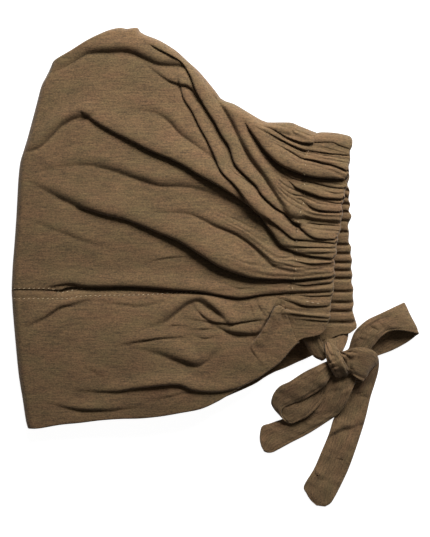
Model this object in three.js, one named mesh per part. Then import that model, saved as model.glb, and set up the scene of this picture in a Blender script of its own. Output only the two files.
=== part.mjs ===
// A jersey underscarf cap lying on its side, as it comes off a shelf: a full crown, a doubled band
// round the face, a gathered casing at the nape and a tie that runs through the casing and is
// knotted in a bow. The upper cloth is called near and the cloth that lies on the surface far.
// Millimetres, +X from the fold over the top of the head to the nape, +Y from the face to the back
// of the crown, +Z up. The cap lies on z = 0, and the origin is under the middle of the whole.
import * as THREE from "three";

// The cap, laid flat.
const CAP_WIDTH = 265; // fold over the top of the head to the nape edge
const CAP_HEIGHT = 312; // front edge to the back of the crown
const CROWN_CLOTH = 1.6; // single jersey with its small rolls
const BAND_CLOTH = 2.4; // jersey doubled over at the front edge
const SEAM_GAP = 0.5; // between two pieces that are sewn together
const FOLD_LIFT = 10; // height of the near cloth beside the outer fold
const CROWN_PUFF = 7; // how much higher the middle of the crown stands
const FOLD_RISE = 7; // height of a full pleat
const FOLD_SPREAD = 15; // reach of a full pleat to its gentle side
const GATHER_RISE = 1.5; // height of the small gathers beside the casing
const GATHER_PITCH = 16; // one small gather to the next beside the casing
const PLEAT_DIP = 0.35; // depth of a pleat's crease, of its height

// The casing at the nape.
const CASING_WIDTH = 30;
const CASING_WALL = 1.1;
const TUNNEL_HEIGHT = 3.4; // free height inside the casing, for the tie
const CASING_LIFT = 17; // height of the near casing's middle
const RUCHE_RISE = 1.1; // height of the small pleats on the casing
const FLOOR_GAP = 0.3; // between the casing's pleats and the surface
const RUCHES = 9; // small pleats on each side of the casing

// The tie, a flat tube of jersey.
const TIE_WIDTH = 25;
const TIE_CLOTH = 1.8;
const TIE_SLACK = 5; // free width of the tie inside the casing
const KNOT_WIDTH = 14;
const KNOT_CLOTH = 3.4;
const LEFT_LOOP = 56; // knot to the end of the loop
const RIGHT_LOOP = 68;
const LEFT_TAIL = 83; // knot to the end of the tail, in a straight line
const RIGHT_TAIL = 114;
const BOW_LIFT = 9; // height of the bow's upper layers
const LYING = 1.1; // middle of the tie's cloth where it lies on the surface

const CASING_THICKNESS = TUNNEL_HEIGHT + 2 * CASING_WALL;
const FAR_CASING_LIFT = CASING_THICKNESS / 2 + RUCHE_RISE + FLOOR_GAP;
const STEPS = { along: 36, crown: 26, band: 9, fold: 4, section: 12 };
const PER_ROW = { casing: 4, tunnel: 2 }; // rings between two rows of the tie's line

const table = (columns, rows) =>
  rows.map((row) => Object.fromEntries(columns.split(" ").map((name, i) => [name, row[i]])));

// Outlines, as shares of the cap's width and height from its front corner. Each has only its bends.
const FRONT_CORNER = [0.044, 0];
const SEAM_START = [0, 0.345];
const CROWN_CORNER = [0.124, 0.922];
const OUTLINES = {
  bandFold: [FRONT_CORNER, [0.024, 0.108], [0.006, 0.235], SEAM_START],
  crownFold: [SEAM_START, [0.006, 0.47], [0.018, 0.61], [0.04, 0.7], [0.09, 0.868], CROWN_CORNER],
  topFold: [
    CROWN_CORNER,
    [0.215, 0.967],
    [0.325, 1],
    [0.4, 0.985],
    [0.479, 0.95],
    [0.553, 0.885],
    [0.62, 0.82],
    [0.7, 0.787],
    [0.75, 0.766],
    [0.818, 0.765],
    [0.882, 0.743],
  ],
  nearFront: [
    FRONT_CORNER,
    [0.2, 0.015],
    [0.45, 0.036],
    [0.568, 0.055],
    [0.67, 0.092],
    [0.759, 0.135],
    [0.846, 0.205],
  ],
  farFront: [
    FRONT_CORNER,
    [0.2, 0.015],
    [0.45, 0.036],
    [0.568, 0.053],
    [0.67, 0.086],
    [0.8, 0.142],
    [0.9, 0.205],
  ],
  seam: [SEAM_START, [0.3, 0.332], [0.62, 0.337], [0.818, 0.342]],
  farSeam: [SEAM_START, [0.3, 0.338], [0.62, 0.34], [0.885, 0.335]],
};

// The main pleats of the near cloth. Each follows its crease, drawn so that the cloth that folds
// over it lies to the left of the way it runs. Places are shares of the cap's width and height,
// rises of a full pleat's height at the crease's start, middle and end, over and under of its reach
// to the side that folds over and to the side that dips under it.
const PLEATS = table("x0 y0 x1 y1 x2 y2 rise0 rise1 rise2 over under", [
  [0.16, 0.91, 0.29, 0.955, 0.48, 0.905, 0.1, 0.7, 0.5, 0.6, 0.7],
  [0.08, 0.7, 0.16, 0.785, 0.26, 0.765, 0.2, 0.8, 0.7, 0.7, 0.8],
  [0.26, 0.77, 0.5, 0.67, 0.79, 0.46, 0.6, 0.8, 0.5, 0.8, 0.6],
  [0.4, 0.79, 0.52, 0.75, 0.62, 0.65, 0.1, 0.5, 0.2, 0.8, 0.8],
  [0.5, 0.85, 0.6, 0.66, 0.81, 0.47, 0.3, 0.8, 0.5, 0.7, 0.5],
  [0.48, 0.93, 0.63, 0.71, 0.83, 0.52, 0.5, 0.7, 0.5, 0.6, 0.5],
  [0.61, 0.83, 0.7, 0.68, 0.83, 0.53, 0.4, 0.9, 0.6, 0.8, 0.7],
  [0.7, 0.74, 0.79, 0.65, 0.96, 0.62, 0.4, 1.1, 0.5, 0.9, 0.6],
  [0.15, 0.64, 0.38, 0.63, 0.77, 0.465, 0.1, 0.5, 0.3, 0.8, 0.9],
  [0.08, 0.605, 0.42, 0.53, 0.8, 0.375, 0.1, 0.9, 0.5, 1.2, 0.8],
  [0.48, 0.53, 0.62, 0.49, 0.8, 0.405, 0.1, 0.5, 0.3, 0.8, 0.8],
  [0.16, 0.36, 0.5, 0.355, 0.82, 0.342, 0.2, 0.7, 0.5, 0.9, 0.4],
  [0.29, 0.09, 0.5, 0.115, 0.74, 0.12, 0.1, 0.4, 0.3, 0.7, 0.6],
  [0.77, 0.31, 0.77, 0.27, 0.7, 0.23, 0.4, 0.7, 0.2, 0.5, 0.5],
]);

// The casing's middle line and width, from the near foot up to the top and down to the far foot.
// Places as above, heading in degrees of the width's way in plan, width of the casing's width.
const NEAR_CASING = table("x y heading width", [
  [0.882, 0.232, 26, 0.82],
  [0.877, 0.275, 10, 0.96],
  [0.875, 0.333, 0, 1],
  [0.881, 0.4, -4, 1],
  [0.89, 0.47, -6, 1],
  [0.905, 0.56, -8, 1],
  [0.922, 0.65, -8, 1],
]);
const FAR_CASING = table("x y heading width", [
  [0.934, 0.64, 0, 0.94],
  [0.933, 0.545, 0, 0.94],
  [0.935, 0.445, 2, 0.96],
  [0.944, 0.345, 3, 1],
  [0.953, 0.27, 5, 1],
  [0.96, 0.232, 8, 1],
]);
const CASING_FOLD = { x: 0.939, y: 0.705, heading: -3, width: 0.98 };

// The bow, from the middle of its knot. Places are shares of the size named beside each table, z of
// the bow's lift, width of the tie's width, heading the width's way in plan and tilt its slope.
const KNOT_PLACE = [0.947, 0.168];
const NEAR_STRAP = table("x y z width heading tilt", [
  [-0.17, 0.08, 0.85, 0.36, 10, -10],
  [-0.22, 0.17, 1.25, 0.52, 20, -8],
]);
const FAR_STRAP = table("x y z width heading tilt", [
  [0.1, 0.2, 0.4, 0.62, 8, 0],
  [0.07, 0.1, 0.5, 0.4, 5, 0],
]);
const LOOP_RIGHT = table("x y z width heading tilt", [
  [0.22, 0.09, 0.82, 0.42, 5, 0],
  [0.3, 0.22, 0.95, 0.62, -24, 8],
  [0.44, 0.4, 1.25, 0.8, -50, 18],
  [0.64, 0.46, 1.25, 0.9, -63, 14],
  [0.84, 0.475, 0.95, 1.08, -62, 4],
  [0.91, 0.485, 0.55, 1.12, -62, 0],
  [0.84, 0.45, 0.06, 1.12, -62, 0],
  [0.66, 0.33, 0.02, 1.05, -60, 0],
  [0.48, 0.22, 0.06, 0.9, -58, 0],
  [0.34, 0.12, 0.3, 0.55, -60, 0],
]);
const LOOP_LEFT = table("x y z width heading tilt", [
  [-0.16, -0.12, 0.9, 0.42, -55, 0],
  [-0.3, -0.21, 1.2, 0.72, -52, 10],
  [-0.5, -0.38, 1.3, 0.85, -52, 12],
  [-0.67, -0.57, 1.15, 0.95, -50, 6],
  [-0.73, -0.69, 0.85, 1, -50, 0],
  [-0.66, -0.73, 0.55, 1, -50, 0],
  [-0.45, -0.62, 0.54, 1, -52, 0],
  [-0.25, -0.42, 0.56, 0.8, -56, 0],
  [-0.14, -0.25, 0.65, 0.42, -60, 0],
]);
const TAIL_LEFT = table("x y z width heading tilt", [
  [0.03, -0.18, 0.5, 0.42, -8, 0],
  [0.05, -0.24, 0.48, 0.85, -5, 6],
  [-0.03, -0.385, 0.36, 1.08, -28, 4],
  [-0.2, -0.5, 0.13, 1, -50, 0],
  [-0.42, -0.63, 0, 0.98, -60, 0],
  [-0.58, -0.71, 0, 0.95, -62, 0],
  [-0.64, -0.74, 0, 0.72, -64, 0],
]);
const TAIL_RIGHT = table("x y z width heading tilt", [
  [0.1, 0, 0.95, 0.42, 76, 0],
  [0.14, -0.002, 1.18, 0.72, 80, 0],
  [0.2, -0.008, 1.18, 0.92, 76, 0],
  [0.243, -0.03, 0.8, 0.95, 64, 0],
  [0.24, -0.07, 0.35, 0.95, 40, 0],
  [0.212, -0.14, 0.12, 0.88, 12, 0],
  [0.187, -0.235, 0, 0.82, -8, 0],
  [0.11, -0.42, 0, 0.93, -14, 0],
  [0.036, -0.64, 0, 1, -18, 0],
  [-0.018, -0.795, 0, 1, -24, 0],
  [-0.085, -0.9, 0, 0.94, -30, 0],
  [-0.115, -0.955, 0, 0.5, -28, 0],
]);
const KNOT = table("x y z width heading tilt", [
  [0.12, 0.98, 0.9, 0.7, 0, 0],
  [-0.05, 0.55, 1.2, 0.9, 4, 0],
  [0.02, 0, 1.3, 1, 8, 0],
  [0.2, -0.5, 1.1, 1, 12, 0],
  [0.28, -0.85, 0.55, 0.8, 14, 0],
]);

const vec = (x, y, z = 0) => new THREE.Vector3(x, y, z);
const { clamp } = THREE.MathUtils;
const smooth = (t) => THREE.MathUtils.smoothstep(t, 0, 1);
const onCap = ([x, y], z = 0) => vec(x * CAP_WIDTH, y * CAP_HEIGHT, z);
const curveOf = (points) => new THREE.CatmullRomCurve3(points, false, "centripetal");
const outline = (name) => curveOf(OUTLINES[name].map((p) => onCap(p)));

// A cloth's middle surface: points, faces that turn anticlockwise seen from outside, and normals
// where the true one is known.
class Cloth {
  points = [];
  faces = [];
  known = new Map();
  square = new Map();

  add(point, normal) {
    this.points.push(point);
    if (normal) this.known.set(this.points.length - 1, normal);
    return this.points.length - 1;
  }

  quad(a, b, c, d) {
    this.faces.push([a, b, c], [a, c, d]);
  }

  // Rows of point numbers become a net of quads. A closed net joins its last column to its first.
  net(rows, closed = false) {
    for (let i = 0; i + 1 < rows.length; i++)
      for (let j = 0; j + (closed ? 0 : 1) < rows[i].length; j++) {
        const k = (j + 1) % rows[i].length;
        this.quad(rows[i][j], rows[i + 1][j], rows[i + 1][k], rows[i][k]);
      }
  }

  normals() {
    const sums = this.points.map(() => vec(0, 0));
    for (const [a, b, c] of this.faces) {
      const [p, q, r] = [a, b, c].map((i) => this.points[i]);
      const n = q.clone().sub(p).cross(r.clone().sub(p));
      for (const i of [a, b, c]) sums[i].add(n);
    }
    for (const [i, axis] of this.square) sums[i].setComponent(axis, 0);
    return sums.map((n, i) => this.known.get(i) ?? n.normalize());
  }

  // The closed solid of a wall of that thickness round the middle surface.
  wall(thickness) {
    const normals = this.normals();
    const count = this.points.length;
    const side = (sign) =>
      this.points.map((p, i) => p.clone().addScaledVector(normals[i], (sign * thickness) / 2));
    const all = [...side(1), ...side(-1)];
    const used = new Set(this.faces.flatMap(([a, b, c]) => [`${a} ${b}`, `${b} ${c}`, `${c} ${a}`]));
    const solid = [];
    for (const [a, b, c] of this.faces) {
      solid.push([a, b, c], [c + count, b + count, a + count]);
      for (const [p, q] of [
        [a, b],
        [b, c],
        [c, a],
      ])
        if (!used.has(`${q} ${p}`)) solid.push([q, p, p + count], [q, p + count, q + count]);
    }
    return geometryOf(all, solid);
  }
}

function geometryOf(points, faces) {
  const geometry = new THREE.BufferGeometry().setFromPoints(points);
  geometry.setIndex(faces.flat());
  geometry.computeVertexNormals();
  return geometry;
}

// A patch between four curves that meet at its corners, the usual Coons patch.
function patch(left, right, bottom, top) {
  return (u, v) => {
    const mix = (a, b, t) => a.clone().multiplyScalar(1 - t).addScaledVector(b, t);
    const sides = mix(left(v), right(v), u).add(mix(bottom(u), top(u), v));
    const corners = mix(mix(left(0), right(0), u), mix(left(1), right(1), u), v);
    return sides.sub(corners);
  };
}

// How high the near cloth lies at the cap's edges: low at the fold, at the casing's height beside it.
const edgeLift = (u) => FOLD_LIFT + (CASING_LIFT - FOLD_LIFT) * u * u;
const foldRadius = (u) => (edgeLift(u) - CROWN_CLOTH / 2) / 2;

// The outline pushed inwards by the radius that the cloth needs to turn round the fold.
function inset(name, radius) {
  const curve = outline(name);
  return (t) => {
    const along = curve.getTangentAt(t);
    const inwards = vec(along.y, -along.x).normalize();
    return curve.getPointAt(t).addScaledVector(inwards, radius(t));
  };
}
const insetNormal = (name) => {
  const curve = outline(name);
  return (t) => {
    const along = curve.getTangentAt(t);
    return vec(-along.y, along.x).normalize();
  };
};
const plain = (name) => {
  const curve = outline(name);
  return (t) => curve.getPointAt(t);
};
// An outline moved sideways, so that two pieces keep the sewing gap between them.
const moved = (curve, x, y) => (t) => curve(t).add(vec(x, y));

// One pleat's crease as a short chain of points, and the height that all give at a place.
function pleatHeight(pleats) {
  const PARTS = 12;
  const creases = pleats.map((row) => {
    const ends = [0, 1, 2].map((k) => onCap([row[`x${k}`], row[`y${k}`]]));
    return { row, line: curveOf(ends).getPoints(PARTS) };
  });
  return (place) => {
    let height = 0;
    for (const { row, line } of creases) {
      let best = { far: Infinity };
      for (let i = 0; i < PARTS; i++) {
        const way = line[i + 1].clone().sub(line[i]);
        const from = place.clone().setZ(0).sub(line[i]);
        const along = from.dot(way) / way.length();
        const past = along - clamp(along, 0, way.length());
        const side = (way.x * from.y - way.y * from.x) / way.length();
        const far = Math.hypot(side, past);
        if (far < best.far) best = { far, side, past, t: (i + clamp(along / way.length(), 0, 1)) / PARTS };
      }
      const rises = [row.rise0, row.rise1, row.rise2];
      const [from, to] = best.t < 0.5 ? rises : rises.slice(1);
      const rise = from + (to - from) * smooth((2 * best.t) % 1 || Math.ceil(best.t));
      // Beyond its ends a pleat dies out.
      const end = Math.exp(-((best.past / FOLD_SPREAD) ** 2) * 2);
      // The cloth climbs from the crease to the pleat's back, and dips on the other side.
      const over = best.side > 0;
      const s = best.side / (FOLD_SPREAD * (over ? row.over : row.under));
      const shape = 2.3 * Math.max(s, 0) * Math.exp(-s * s) - PLEAT_DIP * Math.exp(-2 * s * s);
      height += FOLD_RISE * rise * end * shape;
    }
    return height;
  };
}

const pleatsAt = pleatHeight(PLEATS);
// Pleats die out towards the fold, where the cloth is drawn round it.
function nearHeight(place, u, puff) {
  const free = smooth(u / 0.07);
  const wave = Math.cos((2 * Math.PI * place.y) / GATHER_PITCH);
  const gathers = wave * GATHER_RISE * smooth((u - 0.6) / 0.4);
  const swell = CROWN_PUFF * Math.pow(Math.max(0, 4 * u * (1 - u)), 0.8) * puff;
  return edgeLift(u) + swell + free * (pleatsAt(place) + gathers);
}

// The turn of cloth round a fold, from a row of near points to a row of far points below them.
function foldStrip(cloth, near, far, normalAt, radiusAt) {
  const rings = [near];
  for (let k = 1; k < STEPS.fold; k++) {
    const angle = Math.PI * (1 - k / STEPS.fold);
    rings.push(
      near.map((index, i) => {
        const a = cloth.points[index];
        const b = cloth.points[far[i]];
        const z = (a.z + b.z) / 2 - ((a.z - b.z) / 2) * Math.cos(angle);
        return cloth.add(a.clone().setZ(z).addScaledVector(normalAt(i), radiusAt(i) * Math.sin(angle)));
      }),
    );
  }
  rings.push(far);
  return rings;
}

// A flat far cloth, from the rows of its own edge points in turn.
function flatFar(cloth, edge) {
  const contour = edge.map((i) => new THREE.Vector2(cloth.points[i].x, cloth.points[i].y));
  for (const [a, b, c] of THREE.ShapeUtils.triangulateShape(contour, [])) {
    const turn = contour[b].clone().sub(contour[a]).cross(contour[c].clone().sub(contour[a]));
    cloth.faces.push((turn > 0 ? [c, b, a] : [a, b, c]).map((i) => edge[i]));
  }
}

const shares = (count) => Array.from({ length: count + 1 }, (_, i) => i / count);
const DOWN = vec(0, 0, -1);

// A strip's path with its widths: at(t) gives its middle, the width's way and the width itself.
function stripPath(rows) {
  const centre = curveOf(rows.map((row) => row.at));
  const shape = curveOf(rows.map((row) => vec(row.width, row.heading, row.tilt ?? 0)));
  return (t) => {
    const [width, heading, tilt] = shape.getPoint(t).toArray();
    const [h, e] = [heading, tilt].map(THREE.MathUtils.degToRad);
    const way = vec(Math.cos(h) * Math.cos(e), Math.sin(h) * Math.cos(e), Math.sin(e));
    return { at: centre.getPoint(t), way, width, ahead: centre.getTangent(t) };
  };
}

// Rows of a table about the knot, with real places and widths.
const aroundKnot = (rows, size, full = TIE_WIDTH) =>
  rows.map((row) => ({
    ...row,
    width: row.width * full,
    at: onCap(KNOT_PLACE).add(vec(row.x * size, row.y * size, row.z * BOW_LIFT + LYING)),
  }));

// The tie's run: from the knot up through the near casing, over the top fold, down through the far
// casing and back to the knot. The casing follows the same line.
const TURN = [90, 45, 0, -45, -90];
const TIE_SHARE = (CASING_WIDTH - 2 * CASING_WALL - TIE_SLACK) / CASING_WIDTH;
function tieRun() {
  const run = (rows, z) => rows.map((row) => ({ ...row, at: onCap([row.x, row.y], z) }));
  const radius = (CASING_LIFT - FAR_CASING_LIFT) / 2;
  const turn = TURN.map((degrees) => {
    const angle = THREE.MathUtils.degToRad(degrees);
    const at = onCap([CASING_FOLD.x, CASING_FOLD.y], FAR_CASING_LIFT + radius);
    return { ...CASING_FOLD, at: at.add(vec(0, radius * Math.cos(angle), radius * Math.sin(angle))) };
  });
  const cased = [...run(NEAR_CASING, CASING_LIFT), ...turn, ...run(FAR_CASING, FAR_CASING_LIFT)];
  return [
    ...aroundKnot(NEAR_STRAP, RIGHT_LOOP),
    ...cased.map((row) => ({ ...row, width: row.width * CASING_WIDTH * TIE_SHARE })),
    ...aroundKnot(FAR_STRAP, RIGHT_LOOP),
  ];
}
const TIE_ROWS = tieRun();
const tiePath = stripPath(TIE_ROWS);
const rowShare = (row) => row / (TIE_ROWS.length - 1);
const CASING_START = rowShare(NEAR_STRAP.length);
const CASING_TURN = rowShare(NEAR_STRAP.length + NEAR_CASING.length + (TURN.length - 1) / 2);
const CASING_END = 1 - rowShare(FAR_STRAP.length);
const CASING_ROWS = TIE_ROWS.length - 1 - NEAR_STRAP.length - FAR_STRAP.length;

// The casing's inner edge between two places on the line, with the sewing gap: a point for each y.
function casingEdge(from, to) {
  const points = shares(40).map((s) => {
    const { at, way, width } = tiePath(from + (to - from) * s);
    return at.addScaledVector(way, -width / TIE_SHARE / 2 - SEAM_GAP);
  });
  points.sort((a, b) => a.y - b.y);
  const edge = (y) => {
    const found = points.findIndex((p) => p.y > y);
    const i = found < 0 ? points.length - 1 : Math.max(found, 1);
    const t = clamp((y - points[i - 1].y) / (points[i].y - points[i - 1].y), 0, 1);
    return points[i - 1].clone().lerp(points[i], t).setZ(0).setY(y);
  };
  return { edge, foot: points[0].y };
}
const nearEdge = casingEdge(CASING_START, CASING_TURN);
const farEdge = casingEdge(CASING_TURN, CASING_END);

// A curve whose ends are drawn to two given places.
const drawn = (curve, start, end) => (t) =>
  curve(t)
    .addScaledVector(start.clone().sub(curve(0)), 1 - t)
    .addScaledVector(end.clone().sub(curve(1)), t);
// The casing's edge from one height to another.
const upEdge = (side, y0, y1) => (t) => side.edge(y0 + (y1 - y0) * t);

// One face of the cap from outer fold to casing, as rows of near points from its lower edge up. The
// walls' rims are cut square across X beside the casing, and across Y along the lower and upper edge.
function nearRows(cloth, place, steps, puffAt, squareRow) {
  const [X, Y] = [0, 1];
  return shares(steps).map((v, row) =>
    shares(STEPS.along).map((u) => {
      const p = place(u, v);
      const index = cloth.add(p.setZ(nearHeight(p, u, puffAt(v))));
      if (u === 1) cloth.square.set(index, X);
      if (row === squareRow) cloth.square.set(index, Y);
      return index;
    }),
  );
}
const farPoint = (cloth, p, thickness) => cloth.add(vec(p.x, p.y, thickness / 2), DOWN);

// The near rows, the turn round the fold and the flat far side with its own rim, as one cloth.
function closeCloth(cloth, near, foldNear, fold, rim, thickness) {
  const foldFar = foldNear.map((i) => farPoint(cloth, cloth.points[i], thickness));
  const rings = foldStrip(cloth, foldNear, foldFar, fold.normalAt, fold.radiusAt);
  cloth.net(near.map((row) => [...row].reverse()));
  cloth.net(rings.map((ring) => [...ring].reverse()));
  flatFar(cloth, [...foldFar, ...rim.map((p) => farPoint(cloth, p, thickness))]);
  return cloth.wall(thickness);
}

function buildCrown() {
  const cloth = new Cloth();
  const left = inset("crownFold", () => foldRadius(0));
  const top = inset("topFold", foldRadius);
  const seam = moved(plain("seam"), 0, SEAM_GAP / 2);
  const corner = left(1).add(top(0)).multiplyScalar(0.5);
  const peak = nearEdge.edge(top(1).y);
  const seamEnd = nearEdge.edge(seam(1).y);
  const seamStart = left(0).setY(seam(0).y);
  const place = patch(
    drawn(left, seamStart, corner),
    upEdge(nearEdge, seamEnd.y, peak.y),
    drawn(seam, seamStart, seamEnd),
    drawn(top, corner, peak),
  );
  const puff = (v) => 0.35 + 0.65 * Math.sin(Math.PI * (0.1 + 0.8 * v));
  const near = nearRows(cloth, place, STEPS.crown, puff, 0);

  // The fold runs up the left side and on along the top.
  const foldNear = [...near.map((row) => row[0]), ...near.at(-1).slice(1)];
  const [leftNormal, topNormal] = ["crownFold", "topFold"].map(insetNormal);
  const normalAt = (i) => {
    if (i < STEPS.crown) return leftNormal(i / STEPS.crown);
    if (i > STEPS.crown) return topNormal((i - STEPS.crown) / STEPS.along);
    return leftNormal(1).add(topNormal(0)).normalize();
  };
  const radiusAt = (i) => foldRadius(Math.max(0, i - STEPS.crown) / STEPS.along);

  const farSeam = moved(plain("farSeam"), 0, SEAM_GAP / 2);
  const farPeak = farEdge.edge(peak.y - foldRadius(1));
  const farDown = upEdge(farEdge, farPeak.y, farSeam(1).y);
  const farAlong = drawn(farSeam, seamStart, farEdge.edge(farSeam(1).y));
  const rim = [...shares(12).map(farDown), ...[0.75, 0.5, 0.25].map(farAlong)];
  return closeCloth(cloth, near, foldNear, { normalAt, radiusAt }, rim, CROWN_CLOTH);
}

function buildBand() {
  const cloth = new Cloth();
  const left = inset("bandFold", () => foldRadius(0));
  const seam = moved(plain("seam"), 0, -SEAM_GAP / 2);
  const front = plain("nearFront");
  const frontStart = left(0).setY(front(0).y);
  const seamStart = left(1).setY(seam(0).y);
  const frontEnd = nearEdge.edge(nearEdge.foot);
  const seamEnd = nearEdge.edge(seam(1).y);
  const place = patch(
    drawn(left, frontStart, seamStart),
    upEdge(nearEdge, frontEnd.y, seamEnd.y),
    drawn(front, frontStart, frontEnd),
    drawn(seam, seamStart, seamEnd),
  );
  const near = nearRows(cloth, place, STEPS.band, (v) => 0.55 * v * v, STEPS.band);
  const foldNear = near.map((row) => row[0]);
  const normal = insetNormal("bandFold");
  const fold = { normalAt: (i) => normal(i / STEPS.band), radiusAt: () => foldRadius(0) };

  const farSeam = moved(plain("farSeam"), 0, -SEAM_GAP / 2);
  const farFoot = farEdge.edge(farEdge.foot);
  const farSeamEnd = farEdge.edge(farSeam(1).y);
  const along = drawn(farSeam, seamStart, farSeamEnd);
  const farFront = drawn(plain("farFront"), frontStart, farFoot);
  const rim = [
    ...[0.25, 0.5, 0.75].map(along),
    ...[1, 0.5, 0].map(upEdge(farEdge, farFoot.y, farSeamEnd.y)),
    ...shares(16).map((t) => farFront(1 - t)).slice(1, -1),
  ];
  return closeCloth(cloth, near, foldNear, fold, rim, BAND_CLOTH);
}

// A closed tunnel of cloth round the tie's line, pleated across on its outer faces.
function buildCasing() {
  const sides = shares(STEPS.section).slice(0, -1).map((s) => 2 * Math.PI * s);
  const stretch = (value, power) => Math.sign(value) * Math.pow(Math.abs(value), power);
  const ring = (s, halfThickness, slim, ruche) => {
    const { at, way, width, ahead } = tiePath(CASING_START + (CASING_END - CASING_START) * s);
    const out = way.clone().cross(ahead).normalize();
    return sides.map((angle) => {
      const across = stretch(Math.cos(angle), 0.5) * (width / TIE_SHARE / 2 - slim);
      const through = stretch(Math.sin(angle), 0.6) * (halfThickness + ruche * Math.sin(angle) ** 2);
      return at.clone().addScaledVector(way, across).addScaledVector(out, through);
    });
  };
  const ruche = (s) => (RUCHE_RISE / 2) * (1 - Math.cos(4 * Math.PI * RUCHES * s));
  const cloth = new Cloth();
  const rows = (steps, make) => shares(steps).map((s) => make(s).map((p) => cloth.add(p)));
  const outer = rows(PER_ROW.casing * CASING_ROWS, (s) => ring(s, CASING_THICKNESS / 2, 0, ruche(s)));
  const inner = rows(PER_ROW.tunnel * CASING_ROWS, (s) => ring(s, TUNNEL_HEIGHT / 2, CASING_WALL, 0));
  cloth.net(outer, true);
  cloth.net([...inner].reverse(), true);
  cloth.net([inner[0], outer[0]], true);
  cloth.net([outer.at(-1), inner.at(-1)], true);
  return geometryOf(cloth.points, cloth.faces);
}

// A flat strip of cloth along a path.
function strip(path, thickness, steps, columns) {
  const cloth = new Cloth();
  cloth.net(
    shares(steps).map((t) => {
      const { at, way, width } = path(t);
      return shares(columns).map((s) => cloth.add(at.clone().addScaledVector(way, (s - 0.5) * width)));
    }),
  );
  return cloth.wall(thickness);
}
const knotted = (rows, size) => stripPath(aroundKnot(rows, size));

const CLOTH_BROWN = 0x6d5840;
const group = new THREE.Group();
function add(name, geometry, color = CLOTH_BROWN) {
  const material = new THREE.MeshStandardMaterial({ color, roughness: 0.92, metalness: 0 });
  const mesh = new THREE.Mesh(geometry, material);
  mesh.name = name;
  group.add(mesh);
}

add("crown", buildCrown());
add("front_band", buildBand());
add("nape_casing", buildCasing());
add("tie_strap", strip(tiePath, TIE_CLOTH, PER_ROW.tunnel * (TIE_ROWS.length - 1), 2), 0x675239);
add("bow_knot", strip(stripPath(aroundKnot(KNOT, KNOT_WIDTH, KNOT_WIDTH)), KNOT_CLOTH, 10, 4));
add("bow_loop_right", strip(knotted(LOOP_RIGHT, RIGHT_LOOP), TIE_CLOTH, 30, 3));
add("bow_loop_left", strip(knotted(LOOP_LEFT, LEFT_LOOP), TIE_CLOTH, 28, 3));
add("tie_tail_right", strip(knotted(TAIL_RIGHT, RIGHT_TAIL), TIE_CLOTH, 30, 3));
add("tie_tail_left", strip(knotted(TAIL_LEFT, LEFT_TAIL), TIE_CLOTH, 20, 3));

// The whole stands on z = 0, over the origin.
const box = new THREE.Box3().setFromObject(group, true);
const middle = box.getCenter(vec(0, 0));
group.position.set(-middle.x, -middle.y, -box.min.z);

export default group;
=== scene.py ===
"""An underscarf cap of brown jersey, laid flat on its side with its tie in a bow.

The cap's pieces are worked out over a drawing grid of 0.78 mm steps: x runs from the fold over the
top of the head to the nape, y from the back of the crown down to the face. Heights, rises and
widths of folds are in millimetres.
"""

import math

import bmesh
import bpy
import numpy as np
from mathutils import Euler, Matrix, Vector
from mathutils.bvhtree import BVHTree


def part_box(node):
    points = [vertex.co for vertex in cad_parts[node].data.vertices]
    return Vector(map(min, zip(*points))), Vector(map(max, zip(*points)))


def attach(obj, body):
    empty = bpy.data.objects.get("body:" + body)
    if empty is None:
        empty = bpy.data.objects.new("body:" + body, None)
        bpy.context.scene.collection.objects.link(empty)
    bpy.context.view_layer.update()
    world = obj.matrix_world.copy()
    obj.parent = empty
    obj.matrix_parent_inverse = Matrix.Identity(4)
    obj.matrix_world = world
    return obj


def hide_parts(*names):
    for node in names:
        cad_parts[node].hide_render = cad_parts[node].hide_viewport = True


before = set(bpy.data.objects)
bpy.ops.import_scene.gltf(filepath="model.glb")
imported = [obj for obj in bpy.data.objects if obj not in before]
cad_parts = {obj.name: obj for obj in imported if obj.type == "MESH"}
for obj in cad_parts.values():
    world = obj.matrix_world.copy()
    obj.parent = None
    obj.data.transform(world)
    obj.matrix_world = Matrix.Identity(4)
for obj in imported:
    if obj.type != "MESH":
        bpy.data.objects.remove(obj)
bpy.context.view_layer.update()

bl_info = {
    "name": "Underscarf cap",
    "version": (1, 0, 0),
    "blender": (4, 5, 0),
    "location": "View3D > Sidebar > Underscarf cap",
    "description": "Builds a jersey underscarf cap lying flat, with its gathered casing and bow",
    "category": "Add Mesh",
}

MM = 0.001
DOUBLES = 0.00002  # vertices closer than this are merged
GRID = 0.78  # millimetres in one step of the drawing grid
GRID_LEFT, GRID_FRONT = 11, 428  # the cap's left and front edge on the grid
EDGE_INSET = (1.2, 0.9)  # how far these edges lie inside the band's box, in mm
LEFT_X, FRONT_Y = (c / MM + inset for c, inset in zip(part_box("front_band")[0], EDGE_INSET))
AT_END = 1e-6  # shares closer to 0 or 1 than this lie on the edge


# --------------------------------------------------------------------------------------------
# Curves and patches over the drawing grid


def plan(points):
    """Places on the drawing grid as millimetres in the row frame."""
    p = np.asarray(points, float)
    x = (p[:, 0] - GRID_LEFT) * GRID + LEFT_X
    y = (GRID_FRONT - p[:, 1]) * GRID + FRONT_Y
    return np.column_stack([x, y])


def rounded(rows, parts=8):
    """A smooth run through rows of numbers, with parts steps from one row to the next."""
    p = np.asarray(rows, float)
    p = np.vstack([2 * p[0] - p[1], p, 2 * p[-1] - p[-2]])
    t = np.linspace(0, 1, parts, endpoint=False)[:, None]
    out = []
    for a, b, c, d in zip(p, p[1:], p[2:], p[3:]):
        out.append(
            0.5
            * (
                2 * b
                + (c - a) * t
                + (2 * a - 5 * b + 4 * c - d) * t**2
                + (3 * b - a - 3 * c + d) * t**3
            )
        )
    return np.vstack(out + [p[-2:-1]])


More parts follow.
